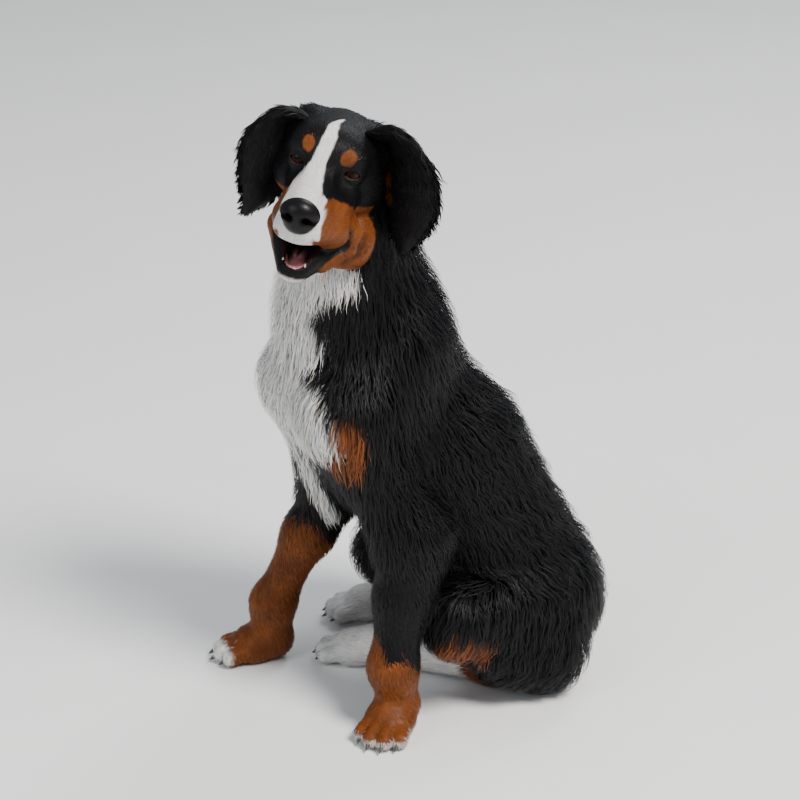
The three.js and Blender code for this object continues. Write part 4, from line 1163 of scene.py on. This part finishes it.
def throat_share(points):
    """1 on the throat under the chin, where the hair is finer and shorter."""
    return np.clip((points[:, 2] - 545) / 90, 0, 1) * np.clip((-110 - points[:, 1]) / 30, 0, 1)


def bib_share(points):
    """1 on the front of the chest, where the white hair is finer."""
    return np.clip((-165 - points[:, 1]) / 20, 0, 1) * np.clip((points[:, 2] - 380) / 40, 0, 1)


def curl_share(points):
    """From 0 on the smooth chest and shoulders to 1 on the wavy back, rump and tail."""
    return np.clip((points[:, 1] + 95) / 100, 0, 1)


def body_density(points):
    """Tufts to a square millimetre: few long ones, many short ones, none under the feet."""
    depth = local_depth(points)
    density = np.interp(depth, *BODY_DENSITY)
    return density * (1 + 1.8 * throat_share(points)) * (1 + 0.25 * bib_share(points)) * (points[:, 2] > 3)


def make_body_coat(body):
    """Tufts over the body's net, apart from where the head covers it, in pieces by part and length."""
    draw = np.random.default_rng(SEED)
    roots, normals = scatter(body[0], body[1], body_density, draw)
    owner = body_groups(roots)
    depth = local_depth(roots)
    keep = head_parts(to_head(roots), 1)[0] > 3
    roots, normals, owner, depth = roots[keep], normals[keep], owner[keep], depth[keep]
    lines = {"trunk": (RUMP_MIDDLE, NECK_MIDDLE), "tail": (TAIL[0], TAIL[-1]),
             "thigh_left": (HIP, KNEES["left"]), "thigh_right": (mirrored(HIP), KNEES["right"])}
    slots = {}
    for side in SIDES:
        lines[f"foreleg_{side}"] = (ELBOWS[side], WRISTS[side])
        lines[f"hind_foot_{side}"] = (HOCKS[side], HIND_PAWS[side][0])
        slots[f"foreleg_{side}"], slots[f"hind_foot_{side}"] = "rust_coat", "white_coat"
    for number, name in enumerate(GROUPS):
        for title, test in SPLITS.get(name, [(name, lambda p: np.ones(len(p), bool))]):
            for long in (True, False):
                own = (owner == number) & test(roots) & ((depth > LONG) == long)
                if own.sum() < FEWEST:
                    continue
                grow_body(title + ("" if long else "_short"), roots[own],
                          normals[own], depth[own], owner[own], lines[name], long, draw)


def grow_body(title, roots, normals, depth, owner, line, long, draw):
    """The tufts of one part of the body."""
    count = len(roots)
    throat, bib = throat_share(roots), bib_share(roots)
    lengths = (BODY_LENGTH[0] + BODY_LENGTH[1] * depth) * (1 - 0.5 * throat) * draw.uniform(0.7, 1.3, count)
    lifts = draw.uniform(0.3, 1.02, count)
    rings = 5 if long else 3
    paths, uprights = march(roots, normals, lambda p: body_lie(p, owner), lambda p: body_field(p, 0),
                            lengths, lifts, rings, draw)
    if long:
        curl = curl_share(roots)
        paths = waved(paths, uprights, 1.3 + 4.9 * curl, BODY_WAVE, draw)
        paths = clumped(paths, BODY_CLUMP, 0.14 + 0.36 * curl, draw)
    half_width = (BODY_WIDTH[0] + BODY_WIDTH[1] * depth) * (1 - 0.5 * throat) * (1 - 0.18 * bib)
    half_width *= draw.uniform(0.65, 1.35, count)
    colour = body_colour(paths[:, SHOWN_RING] + draw.normal(0, 2.2, roots.shape), owner)
    tuft_pieces(title, roots, paths, uprights, half_width, MOTTLE, colour, line, draw)


# The head's coat.

# How long the hair is by the place along the head, tufts to a square millimetre by that length, and how
# far their roots lie under the skin.
HEAD_LENGTH = ([-100, -60, -20, 20, 50, 70, 100], [3.4, 4.2, 6, 7.5, 9.5, 14, 22])
HEAD_DENSITY = ([4, 7, 10, 16], [0.34, 0.26, 0.20, 0.13])
ROOT_SINK = 0.8


def ear_base(places):
    """1 where an ear grows out of the skull, from head places."""
    x, y, z = places.T
    near = ((np.abs(x) - 44) / 17) ** 2 + ((y - 56) / 24) ** 2 + ((z - 34) / 20) ** 2
    return np.exp(-near)


def head_lie(points):
    """Away from the nose over the face, then down over the cheeks and the neck."""
    places = to_head(points)
    away = unit(places - NOSE_TIP + [0, -8, 0])
    down = np.clip((places[:, 1] - 20) / 60, 0, 1)[:, None] * np.clip(1 - places[:, 2] / 30, 0, 1)[:, None]
    way = away * (1 - 0.6 * down) + np.array([0, 0.2, -1]) * 0.8 * down
    outward = np.column_stack([1.6 * np.sign(places[:, 0]), 0 * down, 0.2 + 0 * down])
    return (way + ear_base(places)[:, None] * outward) @ HEAD.T


def head_depth(points):
    """How long the hair of the head is, from the muzzle to the cheeks and the ruff."""
    places = to_head(points)
    y, z = places[:, 1], places[:, 2]
    length = np.interp(y, *HEAD_LENGTH)
    low = np.clip((-122 - z) / 12, 0, 1) * np.clip((y + 30) / 40, 0, 1)
    return length + 5 * low + 9 * ear_base(places)


def head_density(points):
    """Tufts to a square millimetre, none on the eyes, nose and mouth, at the cuts and inside the neck."""
    places = to_head(points)
    bare = np.zeros(len(points), bool)
    ahead = unit(places - NOSE_TIP)
    for side in SIDES.values():
        for reach in (0, 3, 6):
            bare |= eye_opening(places + ahead * reach, side) < 1.6
    bare |= head_parts(places, 1)[1] < 3.0
    bare |= NOSE.distance(places) < 1.5
    bare |= places[:, 2] < NECK_CUT + 2
    bare |= places[:, 1] > REAR_CUT - 3
    own = np.minimum(np.minimum(FACE.distance(places), JAW.distance(places)), JOWL.distance(places))
    bare |= own > 4
    return np.where(bare, 0, np.interp(head_depth(points), *HEAD_DENSITY))


def make_head_coat(head):
    draw = np.random.default_rng(SEED + 1)
    roots, normals = scatter(head[0], head[1], head_density, draw)
    depth = head_depth(roots)
    ahead, long = to_head(roots)[:, 1] < -20, depth > 14
    colour = head_colour(roots + ragged(roots) + draw.normal(0, 0.9, roots.shape))
    for title, own, rings in (("face", ~long & ahead, 3), ("brow", ~long & ~ahead, 3), ("cheeks", long, 5)):
        grow_head(title, roots[own], normals[own], depth[own], colour[own], rings, draw)


def laid(roots, normals, way_at, lengths, rise, droop, rings):
    """Paths that leave the hide at a low angle, bend back towards it along a way, and droop at their ends.

    The rise is a lift for each path, its factor at the root, and how much of that it loses to the tip.
    """
    place = roots - normals * ROOT_SINK
    paths = [place]
    for ring in range(1, rings):
        share = ring / (rings - 1)
        lift = rise[0] * (rise[1] - rise[2] * share)
        ahead = unit(flat_to(way_at(place), normals) + normals * lift[:, None]) + [0, 0, -droop * share]
        place = place + unit(ahead) * (lengths / (rings - 1))[:, None]
        paths.append(place)
    return np.stack(paths, 1), np.repeat(normals[:, None], rings, 1)


def grow_head(title, roots, normals, depth, colour, rings, draw):
    """The tufts of one part of the head."""
    count = len(roots)
    lengths = depth * draw.uniform(0.8, 1.25, count)
    rise = (draw.uniform(0.04, 0.20, count), 1.3, 1.5)
    stray = draw.normal(0, 0.13, (count, 3))
    paths, uprights = laid(roots, normals, lambda place: head_lie(place) + stray, lengths, rise, 0, rings)
    if rings > 3:
        paths = waved(paths, uprights, np.full(count, 1.6), HEAD_WAVE, draw)
        paths = clumped(paths, HEAD_CLUMP, np.full(count, 0.4), draw)
    half_width = (HEAD_WIDTH[0] + HEAD_WIDTH[1] * depth) * draw.uniform(0.7, 1.3, count)
    line = (from_head([0, 100, -10]), from_head([0, -100, -40]))
    tuft_pieces(title, roots, paths, uprights, half_width, HEAD_MOTTLE, colour, line, draw)


# Ears: a leather swept along stations of place, half width, half thickness, cup and twist.

EARS = {
    1: [([24, 56, 30], 16, 8, 0, 10), ([64, 53, 42], 41, 13, 2, 30), ([87, 49, 14], 55, 14, 5, 44),
        ([99, 47, -26], 53, 12, 6, 48), ([104, 44, -66], 37, 9, 5, 46), ([110, 40, -98], 11, 4, 2, 40)],
    -1: [([22, 56, 28], 16, 8, 0, 10), ([58, 54, 32], 32, 12, 2, 30), ([73, 52, 4], 40, 13, 5, 44),
         ([74, 50, -34], 40, 11, 6, 46), ([76, 48, -74], 30, 8, 5, 44), ([90, 46, -108], 8, 4, 2, 40)]}
EAR_RINGS, EAR_SIDES = 30, 32
EAR_FUR = 4
EAR_DENSITY = 0.16
EAR_DROOP = 0.35
EAR_LENGTH = ([0, 0.2, 0.35, 0.5, 0.8, 1], [14, 17, 26, 24, 13, 8])


def smooth_stations(stations, count):
    """Stations between the given ones on smooth curves."""
    knots = np.array([[*place, *sizes] for place, *sizes in stations], float)
    knots = np.vstack([2 * knots[0] - knots[1], knots, 2 * knots[-1] - knots[-2]])
    marks = np.linspace(0, len(stations) - 1 - 1e-6, count)
    whole = marks.astype(int)
    t = (marks - whole)[:, None]
    p0, p1, p2, p3 = (knots[whole + k] for k in range(4))
    return 0.5 * (2 * p1 + (p2 - p0) * t + (2 * p0 - 5 * p1 + 4 * p2 - p3) * t ** 2
                  + (3 * p1 - 3 * p2 + p3 - p0) * t ** 3)


def tube_faces(rings, sides, first, last):
    """Four-sided faces between rings of places, and fans from two more places that close the ends."""
    around, beside = np.arange(sides), np.roll(np.arange(sides), -1)
    starts, end = np.arange(rings - 1)[:, None] * sides, (rings - 1) * sides
    a, b = (starts + around).ravel(), (starts + beside).ravel()
    fans = [np.column_stack([np.full(sides, first), beside, around]),
            np.column_stack([np.full(sides, last), end + around, end + beside])]
    return np.column_stack([a, b, b + sides, a + sides]), np.concatenate(fans)


def make_ear(side):
    """The ear's leather, with each ring's tangent, back and outward directions for its hair."""
    rows = smooth_stations(EARS[side], EAR_RINGS)
    middles = rows[:, :3] * [side, 1, 1]
    ways = unit(np.gradient(middles, axis=0))
    backs, outs, rings = [], [], []
    angles = np.arange(EAR_SIDES) * 2 * math.pi / EAR_SIDES
    for middle, way, (half, thick, cup, twist) in zip(middles, ways, rows[:, 3:]):
        back = np.array([0, 1.0, 0]) - way[1] * way
        back /= np.linalg.norm(back)
        angle = math.radians(-side * twist)
        back = back * math.cos(angle) + np.cross(way, back) * math.sin(angle)
        out = -side * np.cross(way, back)
        half, thick = max(half - EAR_FUR / 2, 2.5), max(thick - EAR_FUR, 1.5)
        bow = thick * np.sin(angles) - cup * (np.cos(angles) ** 2 - 0.4)
        rings.append(middle + back * (half * np.cos(angles))[:, None] + out * bow[:, None])
        backs.append(back)
        outs.append(out)
    points = np.concatenate(rings + [middles[:1], middles[-1:]])
    faces, caps = tube_faces(EAR_RINGS, EAR_SIDES, len(points) - 2, len(points) - 1)
    if side > 0:
        faces, caps = faces[:, ::-1], caps[:, ::-1]
    return from_head(points), faces, caps, middles, ways, np.array(backs), np.array(outs)


def make_ears():
    draw = np.random.default_rng(SEED + 2)
    for name, side in SIDES.items():
        points, faces, caps, middles, ways, backs, outs = make_ear(side)
        colours = np.tile(BLACK * EAR_SHADE, (len(points), 1))
        make_piece(f"ear_leather_{name}", points, [faces, caps], HIDE, colours)
        roots, normals = scatter(points, faces, lambda p: np.full(len(p), EAR_DENSITY), draw)
        grow_ear(name, side, roots, normals, middles, ways, backs, outs, draw)


def grow_ear(name, side, roots, normals, middles, ways, backs, outs, draw):
    """Hair along the ear, longest at its edges below the root, with a rust strip on its outer face."""
    places = to_head(roots)
    ring = np.argmin(np.linalg.norm(places[:, None] - middles, axis=2), axis=1)
    far = ring / (EAR_RINGS - 1)
    across = dots(places - middles[ring], backs[ring])
    half = smooth_stations(EARS[side], EAR_RINGS)[ring, 3]
    edge = np.clip(np.abs(across) / half, 0, 1)
    length = np.interp(far, *EAR_LENGTH) * (0.6 + 0.7 * edge ** 2)
    length = length * draw.uniform(0.75, 1.25, len(roots))
    lean = np.interp(far, [0.1, 0.35], [0.15, 0.7])
    way = ways[ring] + backs[ring] * (np.sign(across) * edge ** 2 * lean)[:, None]
    way = way @ HEAD.T + draw.normal(0, 0.19, way.shape)
    rise = (draw.uniform(0.06, 0.26, len(roots)), 1.2, 1.2)
    paths, uprights = laid(roots, normals, lambda place: way, length, rise, EAR_DROOP, 5)
    paths = waved(paths, uprights, np.full(len(roots), 2.6), EAR_WAVE, draw)
    paths = clumped(paths, EAR_CLUMP, np.full(len(roots), 0.5), draw)
    half_width = (EAR_WIDTH[0] + EAR_WIDTH[1] * length) * draw.uniform(0.7, 1.3, len(roots))
    outward = dots(places - middles[ring], outs[ring]) > 0
    strip = within(far, 0.38, 0.63, 0.05) * within(across / half, 0.36, 0.62, 0.08) * outward
    colour = mixed(np.zeros(len(roots)), strip * 0.8, roots)
    line = (from_head(middles[0]), from_head(middles[-1]))
    tuft_pieces(f"ear_{name}", roots, paths, uprights, half_width, MOTTLE, colour, line, draw)


# The bare parts of the head, and the claws.

NOSE_GROOVE = Rod([0, -114, -27], [0, -104, -56], 1.0, 1.9, 1)


def nose_field(places):
    field = soft_max(NOSE.distance(places), -NOSTRILS.distance(places), 1.6)
    return soft_max(field, -NOSE_GROOVE.distance(places, 0), 1.5)


def make_nose():
    points, faces = surface_net(nose_field, *NOSE_BOX, NOSE_STEP)
    dry = soft_step(NOSTRILS.distance(points) - 2.2, 1.2)
    nose = make_piece("nose_pad", from_head(points), [faces], leather_material(),
                      np.repeat(dry[:, None], 3, 1))
    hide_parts("nose")


IRIS_RADIUS, PUPIL_RADIUS = 8.2, 3.2
EYE_RINGS, EYE_SIDES = 40, 48
EYE_BULGE, BULGE_SPREAD = 0.4, 0.7


def make_eyes():
    material = eye_material()
    for name, side in SIDES.items():
        middle, across, forward = eye_frame(side)
        polar = np.repeat(np.linspace(0, math.pi, EYE_RINGS), EYE_SIDES)
        around = np.tile(np.arange(EYE_SIDES) * 2 * math.pi / EYE_SIDES, EYE_RINGS)[:, None]
        bulge = EYE_RADIUS + EYE_BULGE * np.exp(-(polar / BULGE_SPREAD) ** 2)
        beside = np.cos(around) * across + np.sin(around) * [0, 0, 1.0]
        points = middle + bulge[:, None] * (
            np.cos(polar)[:, None] * forward + np.sin(polar)[:, None] * beside)
        from_axis = np.sin(polar) * EYE_RADIUS
        pupil = soft_step(PUPIL_RADIUS - from_axis, 0.4)[:, None]
        iris = soft_step(IRIS_RADIUS - from_axis, 0.6)[:, None]
        colours = blended(blended(EYE_WHITE, IRIS, iris), PUPIL, pupil)
        faces = tube_faces(EYE_RINGS, EYE_SIDES, 0, 0)[0]
        if side > 0:
            faces = faces[:, [0, 3, 2, 1]]
        ball = make_piece(f"eye_ball_{name}", from_head(points), [faces], material, colours)
        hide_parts(f"eye_{name}")


TONGUE = Group(Egg([0, -44, -111], [13.5, 21, 4], 8), Egg([0, -8, -103], [16, 34, 6], 10))
TONGUE_GROOVE = Rod([0, -66, -104], [0, 20, -95], 1.5, 1.5, 1)
GUMS = Group(*chain(4, ([0, -64, -112], 4.5), ([10, -61, -111], 4.5), ([16, -44, -107], 4.5)))
# Each tooth on both sides: its place, its radius and its height.
TEETH = [(13, -60, -109, 2.2, 8.5), (2.4, -66, -110, 1.5, 3.2), (6.8, -65, -110, 1.6, 3.4)]
CLAW_RADIUS, CLAW_LENGTH, CLAW_BEND = 3.2, 11, 0.25


def make_mouth():
    flesh = flesh_material("tongue_flesh", (0.40, 0.12, 0.135), (0.62, 0.25, 0.26), 0.3)
    points, faces = surface_net(
        lambda places: soft_max(TONGUE.distance(places), -TONGUE_GROOVE.distance(places, 0), 3),
        *TONGUE_BOX, MOUTH_STEP)
    # Painted shade: the tongue darkens towards the back of the mouth.
    shade = np.interp(points[:, 1], [-60, -50, -38, -24], [1, 0.9, 0.3, 0.05])
    shade = np.repeat(shade[:, None], 3, 1)
    tongue = make_piece("tongue_top", from_head(points), [faces], flesh, shade)
    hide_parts("tongue")
    points, faces = surface_net(GUMS.distance, *GUMS_BOX, MOUTH_STEP)
    make_piece("gums", from_head(points), [faces], flesh)
    enamel = flesh_material("enamel", (0.40, 0.35, 0.27), (0.56, 0.52, 0.44), 0.3)
    cones = []
    for x, y, z, radius, height in TEETH:
        for side in SIDES.values():
            lean = np.array([side * 0.12, -0.1, 1.0])
            cones.append(cone(np.array([x * side, y, z]), lean, radius, height))
    join_cones("teeth", cones, enamel, from_head)


def cone(base, way, radius, height, bend=0.0, sides=14, rings=8):
    """A tapered, rounded horn from its base along its way."""
    way = np.array(way, float) / np.linalg.norm(way)
    across = np.cross(way, [0.2, 0.9, 0.1])
    across /= np.linalg.norm(across)
    beside = np.cross(way, across)
    points = []
    for ring in range(rings):
        share = ring / rings
        middle = np.array(base) + way * height * share - np.array([0, 0, bend * height * share ** 2])
        size = radius * (1 - share ** 1.6) ** 0.8
        for k in range(sides):
            angle = 2 * math.pi * k / sides
            points.append(middle + size * (math.cos(angle) * across + math.sin(angle) * beside))
    points.append(np.array(base) + way * height - np.array([0, 0, bend * height]))
    points.append(np.array(base, float))
    quads, caps = tube_faces(rings, sides, len(points) - 1, len(points) - 2)
    return np.array(points), quads, caps


def join_cones(name, cones, material, place):
    """One piece of many cones, put where they belong."""
    starts = np.cumsum([0] + [len(points) for points, _, _ in cones])
    points = place(np.concatenate([points for points, _, _ in cones]))
    quads = np.concatenate([quads + start for (_, quads, _), start in zip(cones, starts)])
    caps = np.concatenate([caps + start for (_, _, caps), start in zip(cones, starts)])
    return make_piece(name, points, [quads, caps], material)


def make_claws():
    horn = flesh_material("claw_horn", (0.02, 0.016, 0.014), (0.07, 0.055, 0.045), 0.35)
    cones = []
    for paw in (*FOREPAWS.values(), *HIND_PAWS.values()):
        forward = paw_place(paw, 0, 1, 0) - paw_place(paw, 0, 0, 0)
        for side in TOE_SIDES:
            base = paw_place(paw, side, toe_reach(side) + 7, 12)
            cones.append(cone(base, forward + [0, 0, -0.3], CLAW_RADIUS, CLAW_LENGTH, CLAW_BEND))
    join_cones("claws", cones, horn, lambda points: points)


# The studio.

CAMERA_AZIMUTH, CAMERA_ELEVATION, CAMERA_DISTANCE = 68, 22, 3300
CAMERA_TARGET = np.array([-72, -50.7, 380])
LENS, SENSOR = 111.15, 36
FARTHEST = 50
# Each light's name, azimuth, elevation, distance in millimetres, size in metres, watts and colour.
LIGHTS = [("key", 108, 50, 6400, 2.2, 720, (1.0, 0.97, 0.93)),
          ("fill", 20, 28, 5000, 3.0, 90, (0.92, 0.96, 1.0)),
          ("rim", 215, 45, 5000, 2.4, 105, (0.95, 0.97, 1.0))]
SKY, SKY_STRENGTH = (0.80, 0.85, 0.92, 1), 0.42
FLOOR_HALF = 30
FLOOR_DARK, FLOOR_LIGHT = (0.80, 0.80, 0.79), (0.86, 0.86, 0.85)


def aim(thing, at, target):
    """Puts a camera or light at a place, looking at another."""
    thing.location = Vector(at * MM + SHIFT)
    thing.rotation_euler = Vector((target - at).tolist()).to_track_quat("-Z", "Y").to_euler()


def round_place(azimuth, elevation, distance):
    """A place round the camera's target: azimuth from straight ahead of the dog to its left."""
    across, up = math.radians(azimuth), math.radians(elevation)
    way = [math.cos(up) * math.sin(across), -math.cos(up) * math.cos(across), math.sin(up)]
    return CAMERA_TARGET + distance * np.array(way)


def make_camera():
    """The photo's camera."""
    data = bpy.data.cameras.new("camera")
    data.lens, data.sensor_width = LENS, SENSOR
    data.clip_end = FARTHEST
    camera = add_thing("camera", data)
    aim(camera, round_place(CAMERA_AZIMUTH, CAMERA_ELEVATION, CAMERA_DISTANCE), CAMERA_TARGET)
    bpy.context.scene.camera = camera


def make_light(name, azimuth, elevation, distance, size, watts, colour):
    data = bpy.data.lights.new(name, "AREA")
    data.shape, data.size, data.energy, data.color = "DISK", size, watts, colour
    aim(add_thing(name, data), round_place(azimuth, elevation, distance), CAMERA_TARGET)


def make_studio():
    """The lights, a pale sky, and a floor that belongs to the studio alone."""
    for light in LIGHTS:
        make_light(*light)
    world = bpy.data.worlds.new("studio")
    world.use_nodes = True
    sky = world.node_tree.nodes["Background"].inputs
    sky["Color"].default_value, sky["Strength"].default_value = SKY, SKY_STRENGTH
    bpy.context.scene.world = world
    mesh = bpy.data.meshes.new("floor")
    corners = [(x * FLOOR_HALF, y * FLOOR_HALF, 0) for x, y in ((-1, -1), (1, -1), (1, 1), (-1, 1))]
    mesh.from_pydata(corners, [], [(0, 1, 2, 3)])
    look = Look("studio_floor")
    look.join("Base Color", look.between(look.noise(look.place(), 3, 4.0), FLOOR_DARK, FLOOR_LIGHT))
    look.put(Roughness=0.8)
    mesh.materials.append(look.material)
    floor = add_thing("floor", mesh)


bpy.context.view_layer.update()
make_camera()
make_studio()
BODY_NET, HEAD_NET = make_skin()
make_body_coat(BODY_NET)
make_head_coat(HEAD_NET)
make_ears()
make_nose()
make_eyes()
make_mouth()
make_claws()
